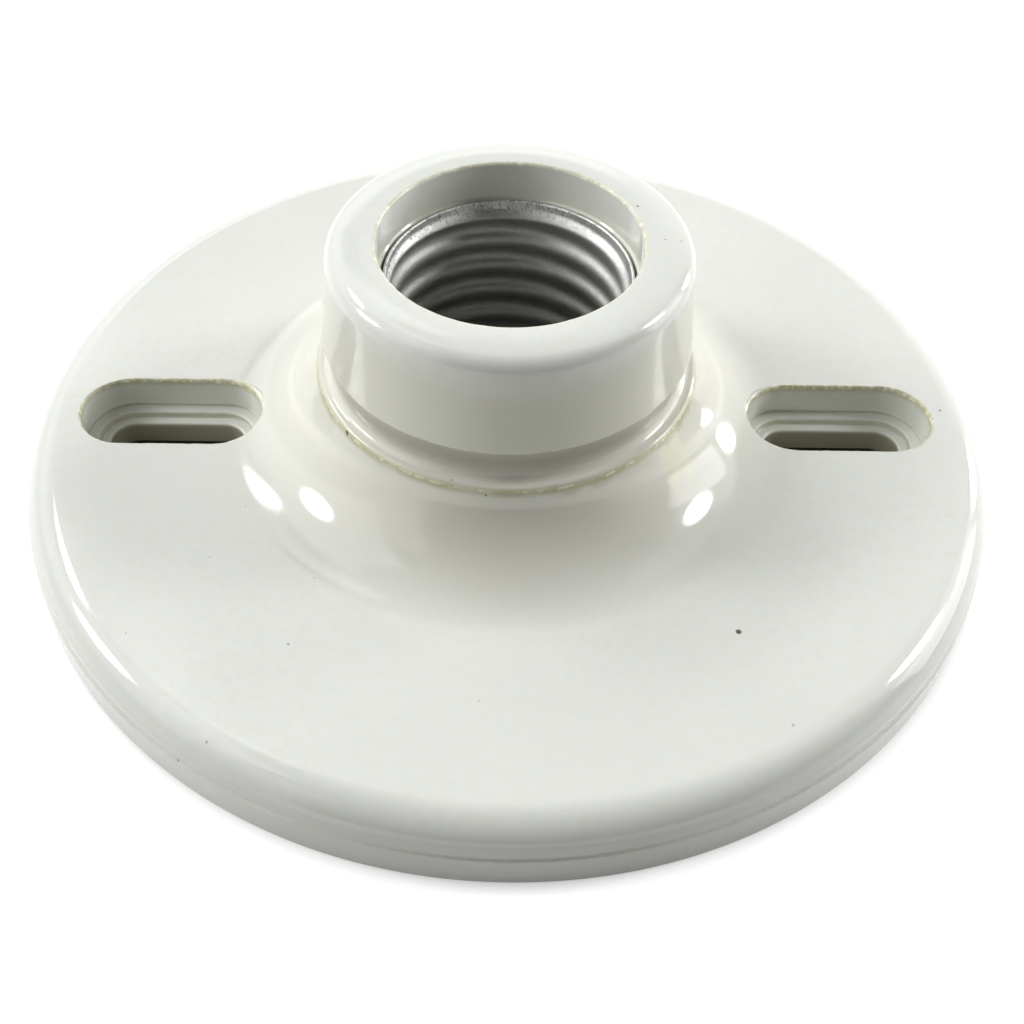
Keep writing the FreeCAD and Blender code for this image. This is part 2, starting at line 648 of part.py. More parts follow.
def hot_terminal():
    """Brass strap between the centre contact's rivet and the live wire's screw."""
    body = new_body("hot_terminal")
    terminal_strap(body, "(Sizes.rivet_place - Sizes.hot_strap_margin)")
    terminal_collar(body)
    sketch = new_sketch(body, "XY_Plane", "rivet_hole_outline", STRAP_TOP)
    circle(sketch, "0", cell("rivet_place"), "Sizes.rivet_radius + Sizes.fit_clearance")
    pocket(body, sketch, "rivet_hole", f"Sizes.strap_sheet + {RUN_PAST}")
    move(body, turn=LIVE_SIDE)
    return body


def neutral_terminal():
    """Plated T-shaped plate: the shell's two screws thread into its bar."""
    body = new_body("neutral_terminal")
    terminal_strap(body, SHELL_SCREW_Y)
    margin = cell("neutral_bar_margin")
    half = f"({SHELL_SCREW_X} + {margin})"
    near, far = f"({SHELL_SCREW_Y} - {margin})", f"({SHELL_SCREW_Y} + {margin})"
    sketch = new_sketch(body, "XY_Plane", "bar_outline", STRAP_BOTTOM)
    outline(sketch, [(f"-{half}", near), (half, near), (half, far), (f"-{half}", far)])
    pad(body, sketch, "bar", cell("strap_sheet"))
    terminal_collar(body)
    sketch = new_sketch(body, "XY_Plane", "shell_screw_hole_outlines", STRAP_TOP)
    tapped = "Sizes.shell_screw_radius + Sizes.fit_clearance"
    for side in ("", "-"):
        circle(sketch, side + SHELL_SCREW_X, SHELL_SCREW_Y, tapped)
    pocket(body, sketch, "shell_screw_holes", f"Sizes.strap_sheet + {RUN_PAST}")
    move(body, turn=NEUTRAL_SIDE)
    return body


def centre_contact():
    """Spring leaf: a foot on the cup's floor, a half-round bend and a tongue that rises to the axis."""
    sheet_, bend, foot = cell("contact_sheet"), cell("contact_bend"), cell("cup_floor")
    outer = f"({bend} + {sheet_})"
    back = f"-{cell('contact_bend_place')}"
    front = "(Sizes.rivet_place + Sizes.contact_margin)"
    under = f"({CONTACT_TOP} + 2 * {bend})"
    rise = cell("contact_tip_rise")
    middle = f"({CONTACT_TOP} + {bend})"
    body = new_body("centre_contact")
    sketch = new_sketch(body, "YZ_Plane", "leaf_side_view")
    outline(sketch, [
        (back, foot),
        (front, foot),
        (front, CONTACT_TOP),
        (back, CONTACT_TOP, bend, -1),
        (f"{back} - {bend}", middle, bend, -1),
        (back, under),
        (f"Sizes.rivet_place - {sheet_}", f"{under} + {rise}"),
        (cell("rivet_place"), f"{under} + {rise} - {sheet_}"),
        (f"Sizes.rivet_place + {sheet_}", f"{under} + {rise}"),
        (f"Sizes.rivet_place - {sheet_} / 2", f"{under} + {rise} + {sheet_}"),
        (back, f"{under} + {sheet_}", outer, 1),
        (f"{back} - {outer}", middle, outer, 1),
    ])
    pad(body, sketch, "leaf", cell("contact_width"), midplane=True)
    sketch = new_sketch(body, "XY_Plane", "rivet_hole_outline", CONTACT_TOP)
    circle(sketch, "0", cell("rivet_place"), "Sizes.rivet_radius + Sizes.fit_clearance")
    pocket(body, sketch, "rivet_hole", f"{sheet_} + {RUN_PAST}")
    return body


def contact_rivet():
    """Holds the leaf, the cup's floor and the hot terminal together."""
    head, height, shank = cell("rivet_head_radius"), cell("rivet_head_height"), cell("rivet_radius")
    round_ = f"({height} / 2)"
    body = new_body("contact_rivet")
    sketch = new_sketch(body, "XZ_Plane", "rivet_section")
    outline(sketch, [
        ("0", f"{STRAP_BOTTOM} - {height}"),
        (f"{head} - {round_}", f"{STRAP_BOTTOM} - {height}", round_, 1),
        (head, f"{STRAP_BOTTOM} - {height} + {round_}"),
        (head, STRAP_BOTTOM),
        (shank, STRAP_BOTTOM),
        (shank, CONTACT_TOP),
        (head, CONTACT_TOP),
        (head, f"{CONTACT_TOP} + {height} - {round_}", round_, 1),
        (f"{head} - {round_}", f"{CONTACT_TOP} + {height}"),
        ("0", f"{CONTACT_TOP} + {height}"),
    ])
    revolve(body, sketch, "formed_rivet")
    move(body, y=cell("rivet_place"))
    return body


pieces = [
    porcelain_body(),
    screw_shell(),
    shell_screw("left_shell_screw", "-"),
    shell_screw("right_shell_screw", ""),
    centre_contact(),
    contact_rivet(),
    hot_terminal(),
    neutral_terminal(),
    terminal_screw("hot_terminal_screw", ""),
    terminal_screw("neutral_terminal_screw", "-"),
]
doc.recompute()

failed = [item.Label for item in doc.Objects if {"Invalid", "Error"} & set(item.State)]
if failed:
    raise RuntimeError("these features failed: " + ", ".join(failed))

os.makedirs("parts", exist_ok=True)
for piece in pieces:
    shape = piece.Shape
    if shape.isNull() or not shape.isValid() or len(shape.Solids) != 1:
        raise RuntimeError(piece.Label + " isn't one valid solid")
    shape.exportStep(f"parts/{piece.Label}.step")
    print(f"{piece.Label}: {shape.Volume:.1f} mm3")
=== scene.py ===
import json
import math

import bpy
import numpy as np
from mathutils import Matrix, Vector


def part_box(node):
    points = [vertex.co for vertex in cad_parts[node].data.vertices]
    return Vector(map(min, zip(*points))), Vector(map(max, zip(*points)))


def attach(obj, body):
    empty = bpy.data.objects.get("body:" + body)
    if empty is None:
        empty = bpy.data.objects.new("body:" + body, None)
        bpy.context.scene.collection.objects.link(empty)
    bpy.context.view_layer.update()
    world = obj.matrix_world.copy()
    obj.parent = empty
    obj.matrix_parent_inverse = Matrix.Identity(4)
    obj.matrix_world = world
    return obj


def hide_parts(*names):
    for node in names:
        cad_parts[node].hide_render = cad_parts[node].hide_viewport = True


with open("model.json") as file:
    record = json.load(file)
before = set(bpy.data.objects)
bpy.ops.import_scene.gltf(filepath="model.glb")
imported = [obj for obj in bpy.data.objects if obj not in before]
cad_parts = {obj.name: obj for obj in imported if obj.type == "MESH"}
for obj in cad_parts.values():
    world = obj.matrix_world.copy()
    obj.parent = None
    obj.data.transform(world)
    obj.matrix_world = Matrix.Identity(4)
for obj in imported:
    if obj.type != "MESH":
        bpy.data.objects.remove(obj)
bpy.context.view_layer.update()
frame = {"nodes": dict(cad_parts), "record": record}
mm = 0.001
fullTurn = 2 * math.pi
runPast = 1.0       # millimetres by which a tool runs past what it cuts
print("frame loaded")


# Shapes.  Outlines are in millimetres, and meshes in metres.

# A smooth wavering from -1 to 1 over a closed path, share 0 to 1 round it: a sum of sines whose
# counts are whole numbers, each shifted by its own phase.
def waver(share, counts, seed):
    shift = np.random.default_rng(seed).uniform(0, fullTurn, len(counts))
    waves = [np.sin(fullTurn * count * share + s) for count, s in zip(counts, shift)]
    return sum(waves) / len(counts)


# Points on an arc: centre + radius * (cos a, sin a), a in degrees from one angle to the other.
def arc(centre, radius, fromAngle, toAngle, count):
    a = np.radians(np.linspace(fromAngle, toAngle, count))
    return [(centre[0] + radius * c, centre[1] + radius * s, 0) for c, s in zip(np.cos(a), np.sin(a))]


# An outline whose corners (x, y, radius) are rounded: each arc touches both sides of its corner, so
# its ends lie radius / tan(half the corner's angle) from the corner, and its centre on the bisector.
def rounded(corners, step=9.0):
    outline = []
    for index, (x, y, radius) in enumerate(corners):
        here = np.array((x, y), float)
        if not radius:
            outline.append(here[None])
            continue
        before = np.array(corners[index - 1][:2], float) - here
        after = np.array(corners[(index + 1) % len(corners)][:2], float) - here
        before /= np.linalg.norm(before)
        after /= np.linalg.norm(after)
        half = math.acos(np.clip(before @ after, -1, 1)) / 2
        reach = radius / math.tan(half)
        centre = here + (before + after) / np.linalg.norm(before + after) * radius / math.sin(half)
        start, end = here + before * reach - centre, here + after * reach - centre
        turn = math.atan2(start[0] * end[1] - start[1] * end[0], start @ end)
        a = np.linspace(0, turn, max(3, math.ceil(abs(math.degrees(turn)) / step) + 1))[:, None]
        side = np.array((-start[1], start[0]))
        outline.append(centre + start * np.cos(a) + side * np.sin(a))
    return np.concatenate(outline)


# Quads of a grid of rows x columns points, joined round the columns, and round the rows if asked.
def gridFaces(rows, columns, loopRows=False):
    row = np.arange(rows if loopRows else rows - 1)[:, None]
    column = np.arange(columns)[None]
    nextRow, nextColumn = (row + 1) % rows, (column + 1) % columns
    quads = (row * columns + column, row * columns + nextColumn,
             nextRow * columns + nextColumn, nextRow * columns + column)
    return np.stack(quads, -1).reshape(-1, 4)


# A mesh from points in millimetres and faces given as index arrays; normals are made to point out.
def meshFrom(name, points, faces):
    mesh = bpy.data.meshes.new(name)
    mesh.from_pydata((np.asarray(points) * mm).tolist(), [], [f for group in faces for f in group.tolist()])
    mesh.validate()
    a, b, c = (np.asarray(points)[faces[0][:, k]] for k in range(3))
    volume = np.einsum("ij,ij->i", a, np.cross(b, c)).sum()
    if volume < 0:
        mesh.flip_normals()
    return mesh


# A profile (r, z) turned about the Z axis: point = (r cos a, r sin a, z).  An end with r = 0 is one
# point, joined to its neighbour row by triangles.  radial adds its own amount to each row's r.
def turned(name, profile, segments, radial=None):
    a = np.linspace(0, fullTurn, segments, endpoint=False)
    r = profile[1:-1, 0, None] + (0 if radial is None else radial(profile[1:-1], a / fullTurn))
    z = np.broadcast_to(profile[1:-1, 1, None], (len(profile) - 2, segments))
    ring = np.stack((r * np.cos(a), r * np.sin(a), z), -1).reshape(-1, 3)
    rows = len(profile) - 2
    poles = np.array([(0, 0, profile[0, 1]), (0, 0, profile[-1, 1])])
    first = np.arange(segments)
    after = (first + 1) % segments
    last = (rows - 1) * segments
    low = np.stack((np.full(segments, rows * segments), after, first), -1)
    high = np.stack((np.full(segments, rows * segments + 1), last + first, last + after), -1)
    return meshFrom(name, np.concatenate((ring, poles)), [gridFaces(rows, segments), low, high])


# A closed solid from rows of points round one path, with a flat face over each end.
def capped(name, rows):
    count, columns = rows.shape[:2]
    ends = np.stack((np.arange(columns)[::-1], (count - 1) * columns + np.arange(columns)))
    return meshFrom(name, rows.reshape(-1, 3), [gridFaces(count, columns), ends])


# A section (offset, height) carried round a slot's outline, which is two half circles of one radius
# about points `half` each side of the middle: point = centre + normal * (radius + offset).
def slotSolid(name, middle, half, radius, section, edgeWaver=None, bend=40, straight=40):
    a = np.radians(np.concatenate((np.linspace(-90, 90, bend), np.full(straight, 90.0),
                                   np.linspace(90, 270, bend), np.full(straight, 270.0))))
    along = np.concatenate((np.full(bend, half), np.linspace(half, -half, straight + 2)[1:-1],
                            np.full(bend, -half), np.linspace(-half, half, straight + 2)[1:-1]))
    reach = radius + section[:, 0, None] + (0 if edgeWaver is None else edgeWaver(section, len(a)))
    x = middle + along + reach * np.cos(a)
    y = reach * np.sin(a)
    z = np.broadcast_to(section[:, 1, None], x.shape)
    return capped(name, np.stack((x, y, z), -1))


# A flat outline (x, y) from one height to another.
def prism(name, outline, low, high):
    rows = [np.column_stack((outline, np.full(len(outline), height))) for height in (low, high)]
    return capped(name, np.array(rows))


# A round bar along Z.
def bar(name, x, y, radius, low, high, segments=48):
    a = np.linspace(0, fullTurn, segments, endpoint=False)
    return prism(name, np.column_stack((x + radius * np.cos(a), y + radius * np.sin(a))), low, high)


def addObject(name, mesh):
    made = bpy.data.objects.new(name, mesh)
    bpy.context.scene.collection.objects.link(made)
    return made


# Middle of a CAD node, seen from above, in millimetres.
def middleOf(node):
    low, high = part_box(node)
    return (low.x + high.x) / 2 / mm, (low.y + high.y) / 2 / mm


# One mesh out of several, for tools that don't touch each other.
def together(name, meshes):
    points, faces, start = [], [], 0
    for mesh in meshes:
        co = np.empty(len(mesh.vertices) * 3, np.float32)
        mesh.vertices.foreach_get("co", co)
        points.append(co.reshape(-1, 3))
        faces += [[start + v for v in polygon.vertices] for polygon in mesh.polygons]
        start += len(mesh.vertices)
    joined = bpy.data.meshes.new(name)
    joined.from_pydata(np.concatenate(points).tolist(), [], faces)
    return joined


# Carves or adds tools, one boolean each, then fixes the result as a plain mesh.
def carve(piece, tools):
    helpers = []
    for operation, mesh in tools:
        helper = addObject("tool", mesh)
        step = piece.modifiers.new("step", "BOOLEAN")
        step.operation, step.object, step.solver = operation, helper, "MANIFOLD"
        helpers.append(helper)
    fixMesh(piece)
    for helper in helpers:
        bpy.data.objects.remove(helper)


# Turns the piece's modifiers into mesh.
def fixMesh(piece):
    graph = bpy.context.evaluated_depsgraph_get()
    mesh = bpy.data.meshes.new_from_object(piece.evaluated_get(graph), depsgraph=graph)
    piece.modifiers.clear()
    piece.data = mesh


# Smooth shading that breaks at corners sharper than the angle; broad flats keep their own normal.
def shadeSmooth(piece, sharpest):
    piece.data.polygons.foreach_set("use_smooth", np.ones(len(piece.data.polygons), bool))
    piece.data.set_sharp_from_angle(angle=math.radians(sharpest))
    weigh = piece.modifiers.new("flats", "WEIGHTED_NORMAL")
    weigh.keep_sharp = True
    fixMesh(piece)


def finishPiece(piece, finish, slotName, body, *nodes):
    piece.data.materials.clear()
    piece.data.materials.append(finish)
    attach(piece, body)
    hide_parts(*nodes)


# A copy of a stamped CAD piece whose sharp edges are rounded off.
def stamped(node, edge, finish, slotName, body):
    mesh = frame["nodes"][node].data.copy()
    piece = addObject(node + "_dressed", mesh)
    weld = piece.modifiers.new("weld", "WELD")
    weld.merge_threshold = 1e-6
    flat = piece.modifiers.new("flat", "DECIMATE")
    flat.decimate_type, flat.angle_limit = "DISSOLVE", math.radians(1)
    soften = piece.modifiers.new("edges", "BEVEL")
    soften.width, soften.segments, soften.limit_method = edge * mm, 2, "ANGLE"
    soften.angle_limit = math.radians(35)
    fixMesh(piece)
    shadeSmooth(piece, 40)
    finishPiece(piece, finish, slotName, body, node)


# Shader maths.

# An output socket; an operator on it adds the Math node that works the result out.
class Signal:
    def __init__(self, finish, socket):
        self.finish = finish
        self.socket = socket

    def maths(self, operation, *values):
        return self.finish.node("Math", {"operation": operation}, dict(enumerate(values)))

    def __add__(self, other):
        return self.maths("ADD", self, other)

    def __radd__(self, other):
        return self.maths("ADD", other, self)

    def __sub__(self, other):
        return self.maths("SUBTRACT", self, other)

    def __rsub__(self, other):
        return self.maths("SUBTRACT", other, self)

    def __mul__(self, other):
        return self.maths("MULTIPLY", self, other)

    def __rmul__(self, other):
        return self.maths("MULTIPLY", other, self)

    def __truediv__(self, other):
        return self.maths("DIVIDE", self, other)

    def __pow__(self, other):
        return self.maths("POWER", self, other)

    def size(self):
        return self.maths("ABSOLUTE", self)

    def atLeast(self, other):
        return self.maths("MAXIMUM", self, other)

    def atMost(self, other):
        return self.maths("MINIMUM", self, other)

    # 0 up to low, 1 from high on, smooth between; low above high turns it round
    def step(self, low, high):
        turnedRound = low > high
        ends = {"From Min": min(low, high), "From Max": max(low, high),
                "To Min": float(turnedRound), "To Max": float(not turnedRound)}
        return self.finish.node("MapRange", {"interpolation_type": "SMOOTHSTEP"}, {"Value": self, **ends})

    # 1 at the centre, 0 from width on either side
    def band(self, centre, width):
        return (self - centre).size().step(width, 0)


# One material, or the world: its node tree, with one method for every node.
class Finish:
    def __init__(self, name, tree=None):
        self.material = None
        if tree is None:
            self.material = bpy.data.materials.new(name)
            self.material.use_nodes = True
            tree = self.material.node_tree
        self.tree = tree
        tree.nodes.clear()

    # A node by its type, its settings, and the values or links of its sockets; `give` names the output.
    def node(self, kind, settings=None, sockets=None, give=0):
        made = self.tree.nodes.new("ShaderNode" + kind)
        for key, setting in (settings or {}).items():
            setattr(made, key, setting)
        for key, amount in (sockets or {}).items():
            if isinstance(amount, Signal):
                self.tree.links.new(amount.socket, made.inputs[key])
            elif isinstance(amount, tuple) and made.inputs[key].type == "RGBA":
                made.inputs[key].default_value = (*amount, 1)
            else:
                made.inputs[key].default_value = amount
        return Signal(self, made.outputs[give])

    # Object coordinates in millimetres, as a vector and as x, y, z.
    def place(self):
        spot = self.node("TexCoord", give="Object")
        scaled = self.node("VectorMath", {"operation": "SCALE"}, {0: spot, "Scale": 1000.0})
        parts = [self.node("SeparateXYZ", sockets={0: scaled}, give=k) for k in range(3)]
        return scaled, *parts

    # Noise 0 to 1 whose features are about `grain` millimetres.
    def noise(self, spot, grain, detail=2.0, seed=0.0):
        sockets = {"Vector": spot, "Scale": 1 / grain, "Detail": detail, "W": seed}
        return self.node("TexNoise", {"noise_dimensions": "4D"}, sockets)

    def mix(self, factor, first, second):
        return self.node("Mix", {"data_type": "RGBA"}, {0: factor, 6: first, 7: second}, give=2)

    # A spot of given radius at a point: 1 inside, 0 outside.
    def spot(self, spot, centre, radius):
        away = self.node("VectorMath", {"operation": "DISTANCE"}, {0: spot, 1: centre}, give="Value")
        return away.step(radius, radius * 0.6)

    # Relief: height times `distance` in millimetres.
    def bump(self, height, distance):
        return self.node("Bump", sockets={"Height": height, "Distance": distance * mm, "Strength": 1.0})

    def surface(self, **sockets):
        named = {name.replace("_", " "): amount for name, amount in sockets.items()}
        shader = self.node("BsdfPrincipled", sockets=named)
        self.output(shader)
        return self.material

    def output(self, shader, kind="OutputMaterial"):
        end = self.tree.nodes.new("ShaderNode" + kind)
        self.tree.links.new(shader.socket, end.inputs["Surface"])


# Porcelain body, millimetres.  Everything round is one profile, from the middle of the back round
# the outside to the cup's floor.
porcelain = {
    "edge": 0.25,               # glaze rounds every arris
    "rimRound": 0.3,
    "bandHeight": 4.2,          # up to the mould's parting step
    "partingStep": 0.25,
    "wallHeight": 6.1,
    "shoulderWidth": 3.7,
    "discHeight": 8.7,
    "flareRadius": 12.0,
    "neckRadius": 21.7,
    "neckHeight": 17.8,
    "bead": 0.5,                # rounded ledge inside the neck's arris
    "grooveFillet": 0.9,
    "grooveDepth": 0.7,         # undercut groove below the collar
    "collarFoot": 22.6,
    "collarRadius": 19.9,
    "collarDraft": 5.8,         # degrees, wider towards the foot
    "footRound": 0.6,
    "lipRound": 1.9,
    "lipCrown": 12.0,           # degrees that the lip's crowned top turns through
    "lipCrest": 15.9,
    "mouthRound": 0.4,
    "cupRadius": 14.05,
    "cupFloor": 8.0,
    "cupCorner": 0.5,
    "skirtWidth": 5.6,
    "skirtDraft": 0.5,
    "recessHeight": 3.0,
    "recessRound": 1.2,
    "wellRadius": 26.0,
    "wellHeight": 4.6,
    "segments": 396,
    "arrisWaver": 0.035,        # how far the arrises wander
}
slots = {
    "length": 21.9,
    "width": 11.0,
    "depth": 4.05,
    "ledge": 1.5,
    "stepDepth": 0.8,
    "stepWidth": 1.2,
    "arris": 0.42,
    "inner": 0.28,
    "waver": 0.07,
    "padWall": 2.8,
    "padHeight": 0.8,
    "below": 0.06,              # how far below the disc the arris starts
    "flareStart": 0.14,         # how far above it the tool's wall leans out through the flare
    "flareWall": (0.45, 4.0),   # and how far out and up it goes on
    "arrisDepth": 0.6,          # depth over which the arris wavers
    "padEdge": ((0, 0.3), (-0.09, 0.09), (-0.3, 0)),    # the pad's rounded edge, in and up
}
backHollows = {
    "coreInner": 17.5,
    "coreOuter": 24.0,
    "coreHeight": 8.6,
    "coreHalfAngle": 48.0,
    "coreRound": 1.0,
    "channelHeight": 5.2,
    "channelGap": 0.15,
    "barFrom": 2.81,            # the neutral plate's bar, from the axis
    "barTo": 9.01,
    "floorHole": 2.13,
    "rivetHole": 1.85,
    "rivetPlace": 3.0,
    "terminalBore": 3.08,
    "boreTop": 10.9,
}

mounts = {mount["name"]: mount for mount in frame["record"]["mounts"]}
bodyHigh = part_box("porcelain_body")[1]
shellLow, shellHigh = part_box("screw_shell")
rimRadius, collarTop = bodyHigh.x / mm, bodyHigh.z / mm
shellTop, shellOuter = shellHigh.z / mm, shellHigh.x / mm
mouthRadius = mounts["lamp_mouth"]["dims"]["r_mm"]
slotPlace = mounts["box_screw_slots"]["dims"]["spacing_x_mm"] / 2
terminalPlace = mounts["live_terminal"]["pos_m"][1] / mm


# The lip's outer arc meets the collar's drafted face and a broad crown whose radius is (where they meet
# - crest) / sin(crown's angle), so both are worked out from the collar's radius at the lip.
draft, crownTurn = (math.radians(porcelain[name]) for name in ("collarDraft", "lipCrown"))
lipX = porcelain["collarRadius"] - porcelain["lipRound"]
crown = (lipX + porcelain["lipRound"] * math.sin(crownTurn) - porcelain["lipCrest"]) / math.sin(crownTurn)
lipZ = collarTop - crown + (crown - porcelain["lipRound"]) * math.cos(crownTurn)
draftTop = lipZ + porcelain["lipRound"] * math.sin(draft)
draftRadius = lipX + porcelain["lipRound"] * math.cos(draft)
footRadius = draftRadius + (draftTop - porcelain["collarFoot"]) * math.tan(draft)
grooveRadius = footRadius - porcelain["grooveDepth"]


# Half section of the porcelain.  The shoulder is a circle through the wall's top that runs level into
# the disc, so its radius is (rise^2 + width^2) / (2 rise).  The flare is a circle that leaves the disc
# level and ends at the neck's arris.
def porcelainProfile():
    p = porcelain
    edge = p["edge"]
    wall = rimRadius - p["partingStep"]
    rise = p["discHeight"] - p["wallHeight"]
    shoulder = (rise ** 2 + p["shoulderWidth"] ** 2) / (2 * rise)
    shoulderFoot = wall - p["shoulderWidth"]
    startAngle = math.degrees(math.acos(p["shoulderWidth"] / shoulder))
    drop = p["discHeight"] + p["flareRadius"] - p["neckHeight"]
    flareFoot = p["neckRadius"] + math.sqrt(p["flareRadius"] ** 2 - drop ** 2)
    flareEnd = 180 + math.degrees(math.asin(drop / p["flareRadius"]))
    ledge = p["neckHeight"] + p["bead"]
    skirt = rimRadius - p["skirtWidth"]
    corners = [
        (0, p["wellHeight"], 0),
        (p["wellRadius"], p["wellHeight"], 0.5),
        (p["wellRadius"], p["recessHeight"], edge),
        (skirt, p["recessHeight"], p["recessRound"]),
        (skirt + p["skirtDraft"], 0, edge),
        (rimRadius, 0, p["rimRound"]),
        (rimRadius, p["bandHeight"], edge),
        (wall, p["bandHeight"] + p["partingStep"], edge),
        *arc((shoulderFoot, p["discHeight"] - shoulder), shoulder, startAngle, 90, 16),
        *arc((flareFoot, p["discHeight"] + p["flareRadius"]), p["flareRadius"], 270, flareEnd, 32)[:-1],
        *arc((p["neckRadius"] - p["bead"], p["neckHeight"]), p["bead"], 0, 90, 7),
        (grooveRadius, ledge, p["grooveFillet"]),
        (grooveRadius, p["collarFoot"] - p["grooveDepth"], edge),
        (footRadius, p["collarFoot"], p["footRound"]),
        *arc((lipX, lipZ), p["lipRound"], p["collarDraft"], 90 - p["lipCrown"], 14),
        *arc((p["lipCrest"], collarTop - crown), crown, 90 - p["lipCrown"], 90, 8)[1:],
        (mouthRadius, collarTop - 0.08, p["mouthRound"]),
        (mouthRadius, shellTop, 0.1),
        (p["cupRadius"], shellTop - mouthRadius + p["cupRadius"], 0.1),
        (p["cupRadius"], p["cupFloor"], p["cupCorner"]),
        (0, p["cupFloor"], 0),
    ]
    return rounded(corners)


# How far each row of the profile wanders round the axis: only the arrises do, by a bell
# curve about each arris' height.
def arrisWaver(rows, share):
    p = porcelain
    neck = np.exp(-((rows[:, 1] - p["neckHeight"]) / 0.5) ** 2) * (np.abs(rows[:, 0] - p["neckRadius"]) < 1.5)
    foot = np.exp(-((rows[:, 1] - p["collarFoot"]) / 0.5) ** 2) * (rows[:, 0] > grooveRadius)
    mouth = np.exp(-((rows[:, 1] - collarTop) / 0.3) ** 2) * (rows[:, 0] < mouthRadius + 0.6)
    wander = [waver(share, (2, 3, 7, 11, 19, 31), seed) for seed in (1, 2, 3)]
    amounts = (neck[:, None] * wander[0], foot[:, None] * wander[1], mouth[:, None] * wander[2])
    return p["arrisWaver"] * sum(amounts)


# Tool that cuts one slot: a stepped section, from the arris on the disc down through the pad.
def slotCutter(side):
    s = slots
    floor = porcelain["discHeight"] - s["depth"]
    through = -s["ledge"] - s["stepWidth"]
    top = porcelain["discHeight"] - s["below"]
    out, up = s["flareWall"]
    corners = [
        (out, top + up, 0),
        (out, top + s["flareStart"], 0.1),
        (0, top, s["arris"]),
        (0, floor, s["inner"]),
        (-s["ledge"], floor, s["inner"]),
        (-s["ledge"], floor - s["stepDepth"], s["inner"]),
        (through, floor - s["stepDepth"], s["inner"]),
        (through, -runPast, 0),
    ]
    section = rounded(corners)
    wander = waver(np.linspace(0, 1, 160, endpoint=False), (3, 5, 9, 14, 23, 37), 5 + side)

    def edgeWaver(rows, count):
        near = np.exp(-(np.minimum(rows[:, 1] - top, 0) / s["arrisDepth"]) ** 2)[:, None]
        return s["waver"] * near * wander[:count]

    radius = s["width"] / 2
    half = (s["length"] - s["width"]) / 2
    return slotSolid("slot", side * slotPlace, half, radius, section, edgeWaver)


# Pad under the disc round one slot.
def slotPad(side):
    s = slots
    radius = s["width"] / 2 + s["padWall"]
    half = (s["length"] - s["width"]) / 2
    edge = [(offset, s["padHeight"] + up) for offset, up in s["padEdge"]]
    corners = np.array([(0, porcelain["recessHeight"] + runPast), *edge])
    return slotSolid("pad", side * slotPlace, half, radius, corners, bend=48, straight=2)


# Pocket beside the cup: a sector of a ring with rounded corners, seen from below.
def corePocket(side):
    b = backHollows
    a = math.radians(b["coreHalfAngle"])
    turn = np.linspace(-a, a, 40)
    turn = turn if side > 0 else turn + math.pi
    outer = b["coreOuter"] * np.column_stack((np.cos(turn), np.sin(turn)))
    inner = b["coreInner"] * np.column_stack((np.cos(turn), np.sin(turn)))[::-1]
    ends = [(*outer[0], b["coreRound"]), *[(*p, 0) for p in outer[3:-3]], (*outer[-1], b["coreRound"]),
            (*inner[0], b["coreRound"]), *[(*p, 0) for p in inner[3:-3]], (*inner[-1], b["coreRound"])]
    return prism("pocket", rounded(ends), porcelain["wellHeight"] - 2, b["coreHeight"])


# Channels that hold the terminals, and the holes and bores of their screws.
def backCutters():
    b = backHollows
    low, high = porcelain["wellHeight"] - 2, b["channelHeight"]
    liveLow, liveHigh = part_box("hot_terminal")
    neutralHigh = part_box("neutral_terminal")[1]
    gap = b["channelGap"]
    half = liveHigh.x / mm + gap
    end = liveHigh.y / mm + gap
    start = liveLow.y / mm - gap
    wide = neutralHigh.x / mm + gap
    near, far = b["barFrom"] - gap, b["barTo"] + gap
    live = np.array([(-half, start), (half, start), (half, end), (-half, end)])
    neutral = np.array([(-half, -end), (half, -end), (half, -far), (wide, -far), (wide, -near),
                        (-wide, -near), (-wide, -far), (-half, -far)])
    channels = together("channels", [prism("live", live, low, high), prism("neutral", neutral, low, high)])
    x, y = middleOf("right_shell_screw")
    below, above = porcelain["wellHeight"], porcelain["cupFloor"] + runPast
    holes = [bar("hole", side * x, y, b["floorHole"], below, above) for side in (-1, 1)]
    holes.append(bar("hole", 0, b["rivetPlace"], b["rivetHole"], below, above))
    bore, top = b["terminalBore"], b["boreTop"]
    holes += [bar("bore", 0, side * terminalPlace, bore, below, top) for side in (-1, 1)]
    return channels, together("holes", holes)


def buildPorcelain(finish):
    mesh = turned("porcelain", porcelainProfile(), porcelain["segments"], arrisWaver)
    body = addObject("porcelainBody", mesh)
    pads = together("pads", [slotPad(side) for side in (-1, 1)])
    cutters = together("cutters", [slotCutter(-1), slotCutter(1), corePocket(-1), corePocket(1)])
    channels, holes = backCutters()
    carve(body, [("UNION", pads), ("DIFFERENCE", cutters), ("DIFFERENCE", channels), ("DIFFERENCE", holes)])
    shadeSmooth(body, 32)
    finishPiece(body, finish, "glazed_porcelain", "lampholder", "porcelain_body")


# Screw shell, millimetres.
shell = {
    "sheet": 0.35,
    "pitch": 3.629,
    "knuckle": 1.191,           # arcs of the rolled thread
    "lip": 0.7,                 # plain band at the top edge
    "runOut": 1.1,              # length over which the thread fades
    "corner": 0.8,
    "floorHole": 6.5,
    "screwHole": 1.93,
    "segments": 240,
    "innerRows": 150,
    "outerRows": 110,
}


